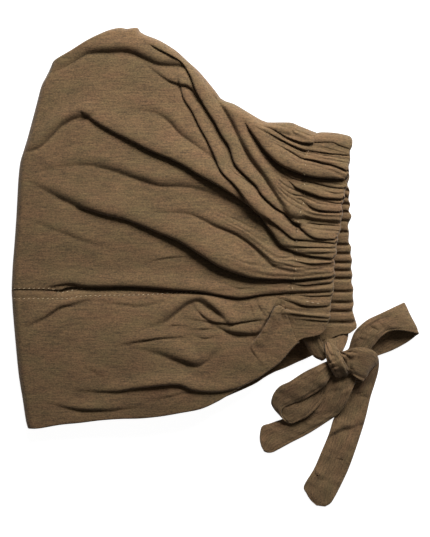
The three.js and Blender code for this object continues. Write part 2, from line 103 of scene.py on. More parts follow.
class Line:
    """A smooth line on the grid. at(t) gives places along it for shares t of its length."""

    def __init__(self, points, parts=8):
        self.dense = rounded(plan(points), parts)
        step = np.hypot(*np.diff(self.dense, axis=0).T)
        self.length = step.sum()
        self.share = np.concatenate([[0], np.cumsum(step)]) / self.length

    def at(self, t):
        t = np.clip(np.asarray(t, float), 0, 1)
        return np.column_stack([np.interp(t, self.share, self.dense[:, k]) for k in (0, 1)])


class Patch:
    """The plan of a cloth between four lines that meet at its corners."""

    def __init__(self, left, right, lower, upper):
        self.left, self.right, self.lower, self.upper = map(Line, (left, right, lower, upper))

    def at(self, u, v):
        u, v = np.asarray(u, float), np.asarray(v, float)
        a, b = u[:, None], v[:, None]
        sides = (1 - a) * self.left.at(v) + a * self.right.at(v)
        sides += (1 - b) * self.lower.at(u) + b * self.upper.at(u)
        c0, c1 = self.lower.at([0, 1])
        c2, c3 = self.upper.at([0, 1])
        return sides - ((1 - b) * ((1 - a) * c0 + a * c1) + b * ((1 - a) * c2 + a * c3))

    def width(self, v):
        return np.hypot(*(self.right.at(v) - self.left.at(v)).T)

    def height(self, u):
        return np.hypot(*(self.upper.at(u) - self.lower.at(u)).T)


def smooth(t):
    t = np.clip(t, 0, 1)
    return t * t * (3 - 2 * t)


def turned(t):
    """The quarter round of a cloth that turns over at its edge."""
    t = np.clip(t, 0, 1)
    return np.sqrt(1 - (1 - t) ** 2)


# --------------------------------------------------------------------------------------------
# The creases. Each runs along its path with the cloth that folds over it on its left hand.
# rise: height of the fold at the crease's start, middle and end; sharp: width of the steep side;
# over and under: reach to the fold's side and to the other; dip: depth of the crease.

FOLD_DEPTH = 1.35  # all folds deepened alike
OVERHANG = 0.55  # how far a sharp fold hangs over its crease, as a share of its height
SHARP, SOFT = 1.0, 2.6  # a fold this steep hangs over in full, and from here on not at all
CREST = 1.6  # where a fold hangs over most, in widths of its steep side
CREST_WIDTH, CREST_START = 1.3, 0.4  # how wide this is and how far it reaches across the crease
RUN_OUT = 6  # how far a crease runs out past its ends, in mm
REACH = 2.2  # a crease has no effect past this many times its reach to the fold's side
CREASE_PARTS, FAN_PARTS = 4, 6  # steps between two points of a crease
FAN_FROM = 285  # creases that end to the right of this on the grid run on over the casing
FAN_SOFT = 4  # how softly the gathers part between two creases, in square mm
CROWN_CREASES = [
    # path, rise, sharp, over, under, dip
    ([(50, 74), (66, 67), (80, 59), (90, 54), (110, 53), (128, 53), (145, 60), (160, 66), (180, 67)],
     (0.5, 3.4, 2.8), 3.6, 13, 13, 1.1),
    ([(158, 50), (172, 57), (182, 63), (190, 75), (198, 93), (206, 108), (215, 122), (222, 135),
      (230, 147), (236, 165), (250, 179), (256, 185), (262, 195), (275, 207), (285, 213), (293, 219)],
     (1.6, 3.2, 2.6), 1.0, 7, 5, 1.6),
    ([(293, 219), (297, 223), (305, 232), (315, 237), (338, 238.5)], (2, 2.4, 2), 0.7, 5, 3, 1.4),
    ([(150, 69), (170, 83), (188, 88), (196, 97), (200, 104)], (0.4, 2.4, 0.4), 1.8, 8, 6, 0.8),
    ([(180, 86), (184, 100), (192, 112), (200, 128), (207, 140), (215, 157), (222, 172), (235, 185),
      (245, 197), (258, 210), (270, 220), (280, 228), (292, 238), (300, 239.5), (335, 243)],
     (1, 3, 2), 1.0, 6, 4, 1.4),
    ([(26, 152), (40, 148), (51, 138), (64, 125), (76, 119), (86, 117)],
     (0.8, 3.6, 2.4), 3.8, 9, 10, 1.0),
    ([(88, 117), (100, 125), (115, 133), (130, 140), (150, 150), (170, 158), (185, 165), (200, 174),
      (220, 185), (240, 198), (258, 212), (272, 232), (282, 245), (295, 251), (310, 255), (334, 258)],
     (1.5, 4.4, 2.2), 0.9, 15, 8, 1.9),
    ([(48, 170), (75, 166), (95, 167), (115, 172), (135, 179), (150, 184), (162, 187), (190, 188),
      (220, 197), (245, 210)], (0.5, 2.4, 0.8), 4, 12, 11, 0.9),
    ([(33, 184), (50, 193), (65, 201), (95, 213), (115, 217)], (0.5, 2.6, 1.0), 4.5, 13, 12, 0.9),
    ([(84, 209), (105, 215), (130, 221), (160, 233), (180, 241), (200, 253), (220, 265), (240, 273),
      (255, 277), (285, 278.5), (300, 279), (315, 278), (334, 276.5)],
     (1.2, 5, 2), 1.3, 17, 9, 1.9),
    ([(158, 213), (185, 214), (200, 219), (215, 227), (235, 235), (250, 245), (262, 256), (272, 266),
      (285, 270), (300, 271), (334, 266)], (0.5, 2.6, 1.4), 2.8, 9, 8, 1.0),
    ([(38, 224), (62, 233), (80, 240), (107, 248)], (0.2, 1, 0.2), 3, 8, 7, 0.4),
    ([(136, 111), (155, 114), (168, 122), (180, 135), (195, 146), (215, 160)],
     (0.3, 2.2, 1.2), 4, 10, 9, 0.8),
    ([(150, 262), (170, 258), (190, 257)], (0.2, 0.6, 0.3), 1.2, 5, 4, 0.3),
    ([(203, 79), (213, 95), (222, 108), (232, 125), (240, 142), (250, 160), (262, 176), (272, 191),
      (282, 206), (292, 215), (303, 219), (338, 223)], (1, 3.8, 2.4), 2.4, 8, 7, 1.8),
    ([(225, 163), (236, 175), (252, 184)], (0.3, 1.2, 0.5), 1.2, 4, 4, 0.6),
    ([(250, 131), (258, 142), (266, 152), (275, 160), (285, 166), (300, 172.5), (313, 176),
      (328, 177.5), (348, 178.5)], (2.4, 5.4, 3.6), 1.3, 10, 10, 3.4),
    ([(279, 167), (286, 175), (294, 179), (303, 180.5), (315, 183), (330, 187), (345, 189)],
     (0.5, 2, 1.6), 0.8, 4, 3, 1.1),
    ([(288, 181), (294, 186.5), (300, 189), (313, 194), (325, 197.5), (345, 198.5)],
     (0.6, 3, 2.4), 0.9, 6, 4, 1.6),
    ([(320, 201), (333, 203), (346, 204)], (0.3, 1, 1), 0.6, 2.5, 2, 0.7),
    ([(301, 201), (312, 208), (325, 211), (340, 212)], (0.3, 2, 1.8), 0.8, 5, 3, 1.2),
    ([(300, 223), (320, 224.5), (338, 226)], (0.3, 1, 0.9), 0.6, 2.5, 2, 0.8),
    ([(283, 244), (297, 246.5), (315, 247.5), (334, 248)], (0.3, 1.2, 1), 0.6, 3, 2.5, 0.9),
    ([(298, 251), (315, 252), (334, 252.5)], (0.2, 0.8, 0.8), 0.5, 2.5, 2, 0.6),
    ([(292, 261), (310, 263.5), (334, 262.5)], (0.3, 1.2, 1), 0.6, 3, 2.5, 0.9),
    ([(285, 282), (300, 285), (318, 283.5), (334, 283)], (0.3, 1.2, 1), 0.7, 3, 3, 0.9),
    ([(298, 128), (310, 132), (322, 134.5), (335, 136), (350, 141)], (0.3, 1.3, 1), 0.6, 2.5, 2, 0.8),
    ([(256, 125), (272, 130), (285, 137), (297, 141.5), (308, 143.5), (330, 143), (338, 146),
      (350, 150)], (0.4, 2.4, 2.2), 1.0, 5, 3.5, 1.5),
    ([(316, 146), (328, 149), (342, 152.5)], (0.2, 0.9, 0.6), 0.5, 2, 1.5, 0.6),
    ([(260, 130), (275, 137.5), (290, 145), (303, 150), (318, 152.5), (335, 154.5), (349, 156)],
     (0.4, 2, 1.4), 0.7, 3.5, 5, 1.5),
    ([(281, 148), (292, 154), (302, 159), (313, 160), (322, 163), (333, 165.5), (346, 171)],
     (0.4, 2.2, 1.8), 0.8, 5, 3, 1.4),
    ([(222, 283), (240, 288), (258, 286)], (0.1, 0.6, 0.2), 1.0, 4, 4, 0.3),
    ([(328, 182), (337, 184), (346, 184.5)], (0.2, 0.8, 0.7), 0.5, 2, 1.5, 0.6),
    ([(322, 191), (333, 193), (344, 193)], (0.2, 0.8, 0.7), 0.5, 2, 1.5, 0.6),
]
# The crown's lower edge hangs over the seam from a little way in.
SEAM_FOLD = (
    [(56, 286), (64, 284.5), (72, 284), (84, 286), (95, 286.5), (125, 286), (150, 287), (175, 289),
     (200, 291), (220, 294.5), (240, 297.5), (262, 294), (280, 293), (300, 292), (332, 291.5)],
    (0.8, 2.8, 1.4), 1.1, 9, 7, 1.6)
BAND_CREASES = [
    ([(28, 326), (40, 321), (50, 315), (60, 308), (72, 305), (86, 301)],
     (0.3, 1.8, 0.8), 1.8, 7, 7, 0.8),
    ([(103, 302), (125, 305), (142, 306), (167, 301)], (0.3, 0.9, 0.3), 2, 4, 5, 0.5),
    ([(156, 325), (165, 322), (172, 317), (180, 310), (188, 304), (198, 301), (206, 306)],
     (0.6, 3.3, 2.0), 3.0, 9, 12, 1.2),
    ([(168, 327), (175, 325), (183, 326)], (0.2, 0.7, 0.2), 0.8, 3, 3, 0.4),
    ([(120, 345), (140, 341), (160, 338), (179, 337)], (0.2, 1.1, 0.4), 0.9, 5, 4, 0.6),
    ([(138, 349), (160, 354), (178, 361), (195, 366), (207, 361), (217, 351)],
     (0.3, 3.2, 0.6), 4.2, 12, 11, 1.1),
    ([(83, 391), (105, 391.5), (120, 391), (135, 388), (150, 386), (165, 384), (180, 384),
      (192, 389), (205, 391), (222, 391), (240, 387)], (0.3, 2.6, 1.2), 1.2, 7, 6, 1.2),
    ([(52, 404), (70, 408.5), (85, 410), (110, 410), (137, 407)], (0.2, 1.6, 0.3), 1.6, 6, 5, 0.8),
    ([(84, 367), (105, 378)], (0.1, 0.6, 0.1), 3, 7, 6, 0.3),
    ([(150, 400), (170, 396), (192, 390)], (0.1, 0.7, 0.2), 1.5, 5, 5, 0.3),
    ([(206, 303), (216, 312), (226, 320)], (1.0, 3, 1.2), 2.4, 9, 9, 1.2),
    ([(196, 309), (203, 316), (212, 321)], (0.4, 1.4, 0.6), 1.6, 5, 5, 0.8),
    ([(196, 320), (215, 322), (230, 323), (245, 321.5), (264, 319)], (0.4, 1.8, 0.5), 1.0, 7, 6, 0.9),
    ([(326, 314), (300, 312), (285, 309.5), (278, 306), (274, 311), (271, 317), (267, 323),
      (262, 331), (257, 337)], (0.9, 3.4, 1.8), 0.8, 6, 2.5, 1.5),
    ([(256, 335), (260, 329), (264.5, 321), (268.5, 315), (272.5, 308)],
     (0.6, 2.2, 1.4), 0.9, 5, 1.5, 0.3),
    ([(216, 326), (230, 333), (245, 335), (258, 334)], (0.4, 2.8, 1.4), 2.4, 7, 9, 1.6),
    ([(248, 343), (253, 352), (259, 360)], (0.1, 0.6, 0.2), 0.6, 3, 3, 0.3),
    ([(249, 302), (251, 308), (253, 315)], (0.1, 0.5, 0.2), 0.6, 3, 3, 0.3),
    ([(256, 299), (260, 308), (266, 317)], (0.1, 0.7, 0.4), 0.8, 4, 4, 0.4),
    ([(193, 330), (205, 329), (218, 328)], (0.1, 0.6, 0.2), 0.9, 4, 4, 0.4),
    ([(195, 336), (205, 338), (215, 336)], (0.1, 0.6, 0.2), 0.9, 4, 4, 0.4),
    ([(282, 299), (292, 302), (303, 305), (315, 306), (330, 305.5)], (0.3, 1.5, 1.2), 0.7, 4, 3, 1.1),
    ([(296, 295), (310, 296), (331, 295.5)], (0.2, 0.9, 0.8), 0.6, 2.5, 2, 0.7),
    ([(284, 314), (300, 315.5), (328, 318)], (0.3, 1.2, 1), 0.6, 3, 2, 0.9),
    ([(298, 319), (312, 320), (328, 321.5)], (0.2, 0.8, 0.7), 0.6, 2.5, 2, 0.6),
    ([(262, 306), (272, 318)], (0.1, 0.6, 0.3), 1.0, 4, 4, 0.4),
]
CAP_CREASES = CROWN_CREASES + BAND_CREASES + [SEAM_FOLD]
# The seam's fold as it shows in the band's edge below it.
SEAM_DIP = (SEAM_FOLD[0], (0.02, 0.02, 0.02), 6.0, 4, 6, 1.2)
# The small pleats of the casing's far run, as heights on the grid.
FAR_PLEATS = [150, 158, 166, 175, 183, 190, 197, 204, 212, 221, 232, 245, 254, 263, 271, 279, 292,
              303, 312, 323]


def crispness(sharp):
    """Only a crease with a narrow steep side hangs over."""
    return smooth((SOFT - sharp) / (SOFT - SHARP))


def crease_lie(x, y, creases):
    """How far the creases lift the cloth at places in plan and how far they push it over, in mm."""
    lift, push = np.zeros_like(x), np.zeros((len(x), 2))
    for path, rise, sharp, over, under, dip in creases:
        line = Line(path, CREASE_PARTS).dense
        reach = REACH * over + 2
        low, high = line.min(axis=0) - reach, line.max(axis=0) + reach
        where = np.flatnonzero((x > low[0]) & (x < high[0]) & (y > low[1]) & (y < high[1]))
        if not len(where):
            continue
        px, py = x[where], y[where]
        best = np.full(len(where), np.inf)
        side, past, along = (np.zeros(len(where)) for _ in range(3))
        left_hand = np.zeros((len(where), 2))
        for k in range(len(line) - 1):
            way = line[k + 1] - line[k]
            size = math.hypot(*way)
            fx, fy = px - line[k, 0], py - line[k, 1]
            t = (fx * way[0] + fy * way[1]) / size
            beyond = t - np.clip(t, 0, size)
            s = (way[0] * fy - way[1] * fx) / size
            far = np.hypot(s, beyond)
            closer = far < best
            best[closer] = far[closer]
            side[closer], past[closer] = s[closer], beyond[closer]
            along[closer] = (k + np.clip(t / size, 0, 1)[closer]) / (len(line) - 1)
            left_hand[closer] = (-way[1] / size, way[0] / size)
        height = FOLD_DEPTH * np.interp(along, [0, 0.5, 1], rise)
        depth = dip * height / max(rise)
        fade = np.exp(-((past / RUN_OUT) ** 2))
        up = np.maximum(side, 0)
        steep = np.exp(-up / sharp)
        fold = height * (1 - steep) * np.exp(-((up / over) ** 2)) - depth * steep
        hollow = -depth * np.exp(np.minimum(side, 0) / under * 2)
        lift[where] += fade * np.where(side > 0, fold, hollow)
        crest = CREST * sharp
        lean = OVERHANG * height * crispness(sharp) * fade
        lean = lean * np.exp(-(((side - crest) / (CREST_WIDTH * crest)) ** 2))
        push[where] -= (lean * smooth(side / crest + CREST_START))[:, None] * left_hand
    return lift, push


def gather_fan(x, y):
    """Places numbered by the gather that they belong to, as heights at the casing in mm."""
    total, weights = np.zeros_like(x), np.zeros_like(x)
    for path, *_ in CAP_CREASES:
        if path[-1][0] < FAN_FROM:
            continue
        line = Line(path, FAN_PARTS).dense
        near = np.full(len(x), np.inf)
        for px, py in line:
            near = np.minimum(near, (x - px) ** 2 + (y - py) ** 2)
        weight = 1 / (near + FAN_SOFT)
        total += weight * line[-1, 1]
        weights += weight
    return total / weights


# --------------------------------------------------------------------------------------------
# The cap's outlines on the drawing grid

CROWN_LEFT = [(11, 290), (11, 285), (12, 265), (14, 240), (16, 210), (17, 190), (18, 175), (20, 160),
              (25, 145), (29, 130), (33, 115), (37, 100), (41, 85), (48, 72), (52, 62), (56, 58)]
CROWN_TOP = [(56, 58), (72, 49), (88, 39), (100, 33), (110, 29), (120, 27), (127, 28), (137, 27),
             (140, 31), (145, 34), (160, 40), (176, 50), (187, 60), (200, 72), (215, 90), (222, 99),
             (235, 104), (250, 113), (262, 120), (268, 122), (280, 122), (292, 122.5), (300, 126),
             (308, 129), (316, 133)]
CROWN_SEAM = [(11, 290), (30, 290), (55, 290.5), (61, 290), (66, 288), (74, 287), (85, 287.5),
              (100, 287.5), (125, 287), (150, 288), (175, 290), (200, 292), (220, 295.5),
              (240, 298.5), (262, 295), (280, 294), (289, 293)]
CASING_INNER = [(297, 341), (290, 322), (285, 306), (289, 293), (291, 282), (293, 270), (294, 254),
                (294, 236), (296, 218), (301, 205), (302, 188), (302, 170), (305, 152), (316, 133)]
CASING_RIM = [(324, 330), (326, 324), (328, 318), (327.5, 314), (328.5, 309), (328, 304), (329.5, 297),
              (331, 291), (331, 285), (330.5, 281), (332.5, 276), (331, 270), (332, 265), (331, 259),
              (333.5, 253), (333, 247), (335, 240), (334.5, 236), (338, 228), (338, 220), (340, 213),
              (339, 205), (342, 198), (342, 191), (345, 185), (344.5, 179), (346.5, 173), (346, 165),
              (348, 157), (348, 150), (351, 144), (352, 138.5)]
CASING_MOUTH = [(297, 341), (303, 338), (313, 336), (320, 334), (324, 330)]
CASING_TOP = [(316, 133), (322, 132), (334, 132.5), (343, 134), (350, 136), (352, 138.5)]
FAR_INNER = [(318, 341), (318, 320), (318, 290), (317, 260), (315, 230), (312, 200), (310, 170),
             (311, 150), (316, 133)]
FAR_RIM = [(355, 330), (355, 326), (353.5, 321), (351, 312), (352, 305), (351, 297), (351.5, 290),
           (349.5, 283), (350.5, 276), (349, 268), (350, 261), (348.5, 254), (349, 247), (346.5, 241),
           (347, 232), (346, 224), (349.5, 215), (347, 209), (348.5, 203), (347, 197), (348, 189),
           (346, 182), (348, 175), (347, 166), (349, 158), (349, 150), (351, 144), (352, 138.5)]
FAR_MOUTH = [(318, 341), (330, 339), (340, 335), (349, 334), (355, 330)]
BAND_LEFT = [(27, 428), (25, 420), (22, 400), (18, 375), (15, 345), (12, 310), (11, 290)]
BAND_FRONT = [(27, 428), (40, 427), (60, 423.5), (80, 421.5), (100, 419), (120, 417.5), (140, 417),
              (160, 415), (180, 411.5), (200, 407.5), (215, 401), (227, 394), (240, 385.5),
              (255, 378), (267, 370), (280, 360), (290, 348.5), (297, 341)]
BAND_TOP = [(11, 288.5), (30, 288.5), (58, 287.5), (70, 284), (100, 283.5), (150, 284), (200, 288),
            (240, 294), (262, 291), (280, 290), (289, 289)]
FAR_FRONT = [(27, 428), (60, 423.5), (100, 419), (140, 417), (180, 411.5), (200, 407.5), (215, 401.5),
             (225, 396.5), (240, 390), (255, 383), (265, 376.5), (275, 371), (285, 367), (297, 361.5),
             (308, 357), (314, 353), (318, 341)]
FAR_SEAM = [(11, 290), (60, 291), (150, 292), (240, 293), (318, 294)]
FAR_OVERLAP = 4  # how far the band reaches up past the far seam, in grid steps
# The two sewn rows at the seam, and how the upper one draws the cloth in.
UPPER_ROW = [(12, 289.7), (30, 289.7), (48, 289.7), (56, 291), (61, 292), (68, 291), (76, 289),
             (84, 288)]
LOWER_ROW = [(12, 298.5), (30, 298.7), (50, 298.7), (62, 299), (70, 298.5), (80, 296.5), (100, 295.5),
             (140, 295), (165, 293.5), (195, 292), (208, 292.5)]
UPPER_PINCH = [(11, 290), (55, 290.5), (66, 290.5), (80, 287.5), (100, 287.5)]


# --------------------------------------------------------------------------------------------
# The lie of the cloth. Lengths are in millimetres.

GATHER = 1.35  # height of the small pleats at the casing
BROAD_PLEAT, SMALL_PLEAT = 1.45, 0.8  # their widths, each divided by pi
GATHERED_FROM = 0.66  # share of the crown's width from which they grow
PLAIN_FROM = 316  # height on the grid below which the casing is nearly plain
PLAIN_BLEND = 6  # over which they die away there
RUMPLE = 0.22  # height of the cloth's slight unevenness
PINCH, ROW_WIDTH = (0.5, 0.45), 0.9  # depth of the two sewn rows and half their width
STRIP_DEPTH, STRIP_BLEND = 0.3, 1.2  # depth of the cloth between the rows, and its slopes
UPPER_FADE = 25  # over which the upper row's pinch dies away at its right end
FLOOR_GAP = 0.25  # from the floor up to the far cloth
FAR_WAVES, FAR_PUCKERS = 0.35, 0.5  # heights of the far cloth's waves and of its gathers
INNER_DROP = 1.3  # how much lower the near cloth's inner face lies, for each mm of its wall
REACH_UNDER, DIP_UNDER = 1.5, 0.9  # how far the crown and band reach on under the casing's edge
CASING_DIP = 0.8  # how far the casing's first column dips
LEAST_HEIGHT = 0.2  # the casing and the tie lie no closer to the floor


def edge_height(u, settings):
    """Height of the near cloth along its edges, u across from the outer fold to the casing."""
    return (settings.fold_lift + (settings.casing_lift - settings.fold_lift) * u**2) / MM


def upper_height(u, v, settings):
    """Height of the near cloth's outer face before its creases."""
    puff = settings.puff / MM * np.maximum(0, 4 * u * (1 - u)) ** 0.8
    return edge_height(u, settings) + puff * (0.35 + 0.65 * np.sin(np.pi * (0.1 + 0.8 * v)))


def gathers(x, y, share):
    """Small pleats with narrow valleys that run along the large folds and grow to the casing."""
    fan = gather_fan(x, y)
    broad = np.abs(np.sin(fan / BROAD_PLEAT + 0.8 * np.sin(x / 17 + fan / 9))) ** 0.7
    small = np.abs(np.sin(fan / SMALL_PLEAT + 1.1 * np.sin(x / 11 + fan / 5))) ** 0.8
    uneven = 0.65 + 0.35 * np.sin(fan / 7.1 + x / 31)
    uneven = uneven * (0.25 + 0.75 * smooth((y - plan([(0, PLAIN_FROM)])[0, 1]) / PLAIN_BLEND))
    return (GATHER * (broad - 0.65) + 0.5 * GATHER * (small - 0.65)) * uneven * smooth(share)


def rumple(x, y):
    """The slight unevenness of worn-in jersey."""
    return RUMPLE * (
        np.sin(x / 17 + 1.7 * np.sin(y / 23)) * np.sin(y / 13 + 1.1 * np.sin(x / 29))
        + 0.5 * np.sin(x / 7.3 + 2 * np.sin(y / 11)) * np.sin(y / 6.1)
    )


def add_grid(bm, columns, rows):
    """Adds a square grid and gives its vertices with the shares u and v at which they lie."""
    verts = bmesh.ops.create_grid(bm, x_segments=columns, y_segments=rows, size=1)["verts"]
    co = np.array([v.co[:2] for v in verts])
    return verts, (co[:, 0] + 1) / 2, (co[:, 1] + 1) / 2


def place(verts, points):
    """Moves vertices to points given in millimetres."""
    for vert, point in zip(verts, points * MM):
        vert.co = point


def new_object(name, bm, material):
    bm.normal_update()
    mesh = bpy.data.meshes.new(name)
    bm.to_mesh(mesh)
    bm.free()
    mesh.polygons.foreach_set("use_smooth", [True] * len(mesh.polygons))
    mesh.materials.append(material)
    piece = bpy.data.objects.new(name, mesh)
    bpy.context.scene.collection.objects.link(piece)
    return piece


def thicken(piece, thickness):
    """Gives the cloth its thickness on the inner side."""
    wall = piece.modifiers.new("cloth", "SOLIDIFY")
    wall.thickness = thickness
    wall.offset = -1
    wall.use_rim = True
    wall.use_even_offset = False


def face_outwards(bm):
    """Merges doubles and turns every face outwards, also on a shell that is open at its ends."""
    bmesh.ops.remove_doubles(bm, verts=bm.verts, dist=DOUBLES)
    bmesh.ops.recalc_face_normals(bm, faces=bm.faces)
    if bm.calc_volume(signed=True) < 0:
        bmesh.ops.reverse_faces(bm, faces=bm.faces)


def on_body(piece, slot, *nodes):
    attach(piece, "root")
    if nodes:
        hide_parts(*nodes)
    return piece


# --------------------------------------------------------------------------------------------
# Sizes and colours


def metres(name, description, default, low, high):
    return bpy.props.FloatProperty(
        name=name, description=description, default=default, min=low, max=high,
        subtype="DISTANCE", unit="LENGTH", precision=4,
    )


def colour(name, description, default):
    return bpy.props.FloatVectorProperty(
        name=name, description=description, default=default, size=3, min=0, max=1, subtype="COLOR"
    )


class CapSettings(bpy.types.PropertyGroup):
    fold_lift: metres("Fold lift", "Height of the near cloth beside the fold", 0.0108, 0.006, 0.02)
    casing_lift: metres("Casing lift", "Height of the near casing's face", 0.0182, 0.012, 0.03)
    puff: metres("Puff", "How much higher the middle of the crown stands", 0.007, 0, 0.02)
    crown_cloth: metres("Crown cloth", "Thickness of the crown's jersey", 0.0011, 0.0005, 0.003)
    band_cloth: metres("Band cloth", "Thickness of the doubled band", 0.0022, 0.001, 0.004)
    casing_height: metres("Casing height", "Thickness of the casing", 0.0046, 0.003, 0.008)
    casing_wall: metres("Casing wall", "Thickness of the casing's cloth", 0.0008, 0.0004, 0.002)
    jersey: colour("Jersey", "Colour of the brown jersey", (0.114, 0.068, 0.0302))


class TieSettings(bpy.types.PropertyGroup):
    cloth: metres("Tie cloth", "Thickness of the flat tube of jersey", 0.0021, 0.001, 0.004)
    knot_cloth: metres("Knot cloth", "Thickness of the cloth over the knot", 0.0042, 0.002, 0.008)
    jersey: colour("Jersey", "Colour of the tie's jersey", (0.113, 0.068, 0.0306))


class StitchSettings(bpy.types.PropertyGroup):
    pitch: metres("Pitch", "From one stitch to the next", 0.0037, 0.002, 0.008)
    length: metres("Length", "Length of one stitch", 0.0023, 0.001, 0.005)
    width: metres("Width", "Thickness of the thread", 0.0006, 0.0002, 0.002)
    thread: colour("Thread", "Colour of the sewing thread", (0.33, 0.24, 0.135))


class StageSettings(bpy.types.PropertyGroup):
    camera_height: metres("Camera height", "Camera over the floor", 1.4, 0.5, 5)
    view_height: metres("View height", "Length of floor that the picture shows", 0.4189, 0.1, 2)
    key: bpy.props.FloatProperty(name="Key", description="Power of the soft main light", default=36.8,
                                 min=0, max=200)
    fill: bpy.props.FloatProperty(name="Fill", description="Strength of the light from all round",
                                  default=0.1, min=0, max=5)
    floor: colour("Floor", "Colour of the floor", (0.4, 0.4, 0.4))
    floor_glow: bpy.props.FloatProperty(name="Floor glow", description="Light of the backlit floor",
                                        default=0.95, min=0, max=5)


# --------------------------------------------------------------------------------------------
# Materials


# Noises of the heather: scale, stretch, detail, roughness, strength in the colour.
HEATHER = {
    "streaks": (330, (0.3, 2.6, 2.6), 3, 0.6, 1.3),
    "long_streaks": (150, (0.16, 4.2, 4.2), 2, 0.5, 0.35),
    "speckle": (1000, (0.7, 1.0, 1.0), 1, 0.6, 1.5),
    "clouds": (45, (1, 1.6, 1.6), 3, 0.6, 0.5),
}
TINT = (60, (0.6, 1.4, 1.4), 3, 0.65)  # noise of the cooler and the warmer fibres
COOLER, WARMER = (0.78, 1.0, 0.9), (1.22, 1.0, 1.1)
TWIST = (1800, (0.6, 1.6, 1), 1, 0.5)  # noise of the thread's twist
LOOPS = {"Scale": 520, "Distortion": 1.2, "Detail": 1, "Detail Scale": 3}
LOOP_DRIFT = 0.004  # how far the knitted loops wander, in metres
RELIEF = {"streaks": 0.6, "speckle": 0.5, "loops": 0.35}  # shares of the jersey's bump
BUMP = {"Strength": 0.55, "Distance": 0.0003}
JERSEY_SHINE = {"Specular IOR Level": 0.25, "Sheen Weight": 0.12, "Sheen Roughness": 0.5}
ROUGHNESS, ROUGHNESS_SPREAD = 0.8, 0.14
THREAD_ROUGHNESS, FLOOR_ROUGHNESS = 0.55, 0.9
THREAD_TONES = (0.8, 1.2)  # the darkest and the lightest of the thread, in shares of its colour


def math_node(tree, operation, a, b):
    """A Math node, whose inputs are numbers or sockets."""
    node = tree.nodes.new("ShaderNodeMath")
    node.operation = operation
    for socket, value in zip(node.inputs, (a, b)):
        if isinstance(value, (int, float)):
            socket.default_value = value
        else:
            tree.links.new(value, socket)
    return node.outputs[0]


def add(tree, a, b):
    return math_node(tree, "ADD", a, b)


def times(tree, a, b):
    return math_node(tree, "MULTIPLY", a, b)


def around_zero(tree, fac):
    return math_node(tree, "SUBTRACT", fac, 0.5)


def blend_colour(tree, mode, amount, a, b):
    node = tree.nodes.new("ShaderNodeMix")
    node.data_type, node.blend_type = "RGBA", mode
    for socket, value in zip((node.inputs[0], node.inputs[6], node.inputs[7]), (amount, a, b)):
        if isinstance(value, (int, float)):
            socket.default_value = value
        elif isinstance(value, tuple):
            socket.default_value = (*value, 1)
        else:
            tree.links.new(value, socket)
    return node.outputs[2]


def noise(tree, places, scale, stretch, detail, rough):
    """Noise over places that are stretched first, so that its grains lie along the fabric."""
    mapping = tree.nodes.new("ShaderNodeMapping")
    mapping.vector_type = "POINT"
    mapping.inputs["Scale"].default_value = stretch
    tree.links.new(places, mapping.inputs["Vector"])
    node = tree.nodes.new("ShaderNodeTexNoise")
    node.inputs["Scale"].default_value = scale
    node.inputs["Detail"].default_value = detail
    node.inputs["Roughness"].default_value = rough
    tree.links.new(mapping.outputs[0], node.inputs["Vector"])
    return node.outputs["Fac"]


def jersey_group():
    """The look of fine heather jersey: streaks along the courses, speckle and knitted loops."""
    tree = bpy.data.node_groups.new("heather_jersey", "ShaderNodeTree")
    for name, way, kind in (
        ("Place", "INPUT", "NodeSocketVector"), ("Jersey", "INPUT", "NodeSocketColor"),
        ("Color", "OUTPUT", "NodeSocketColor"), ("Roughness", "OUTPUT", "NodeSocketFloat"),
        ("Height", "OUTPUT", "NodeSocketFloat"),
    ):
        tree.interface.new_socket(name, in_out=way, socket_type=kind)
    given, out = tree.nodes.new("NodeGroupInput"), tree.nodes.new("NodeGroupOutput")
    where = given.outputs["Place"]

    noises, bright = {}, 1.0
    for name, (*grain, strength) in HEATHER.items():
        noises[name] = noise(tree, where, *grain)
        bright = add(tree, times(tree, around_zero(tree, noises[name]), strength), bright)
    grey = tree.nodes.new("ShaderNodeCombineColor")
    for socket in grey.inputs[:3]:
        tree.links.new(bright, socket)
    toned = blend_colour(tree, "MULTIPLY", 1.0, given.outputs["Jersey"], grey.outputs[0])
    # Some of the fibres are a little cooler and some warmer than the rest.
    warm = blend_colour(tree, "MIX", noise(tree, where, *TINT), COOLER, WARMER)
    tree.links.new(blend_colour(tree, "MULTIPLY", 1.0, toned, warm), out.inputs["Color"])

    rough = add(tree, times(tree, noises["speckle"], ROUGHNESS_SPREAD), ROUGHNESS)
    tree.links.new(rough, out.inputs["Roughness"])

    # Knitted loops: wales across the courses, broken up so that they never line up for long.
    drift = tree.nodes.new("ShaderNodeVectorMath")
    drift.operation = "ADD"
    nudge = tree.nodes.new("ShaderNodeCombineXYZ")
    wander = times(tree, around_zero(tree, noises["clouds"]), LOOP_DRIFT)
    for socket in nudge.inputs[:2]:
        tree.links.new(wander, socket)
    tree.links.new(where, drift.inputs[0])
    tree.links.new(nudge.outputs[0], drift.inputs[1])
    loops = tree.nodes.new("ShaderNodeTexWave")
    loops.wave_type, loops.bands_direction = "BANDS", "Y"
    set_inputs(loops, LOOPS)
    tree.links.new(drift.outputs[0], loops.inputs["Vector"])
    noises["loops"] = loops.outputs["Fac"]
    height = 0.0
    for name, share in RELIEF.items():
        height = add(tree, times(tree, noises[name], share), height)
    tree.links.new(height, out.inputs["Height"])
    return tree


def set_inputs(node, values):
    for name, value in values.items():
        node.inputs[name].default_value = value


def new_material(name):
    made = bpy.data.materials.new(name)
    made.use_nodes = True
    return made, made.node_tree, made.node_tree.nodes["Principled BSDF"]


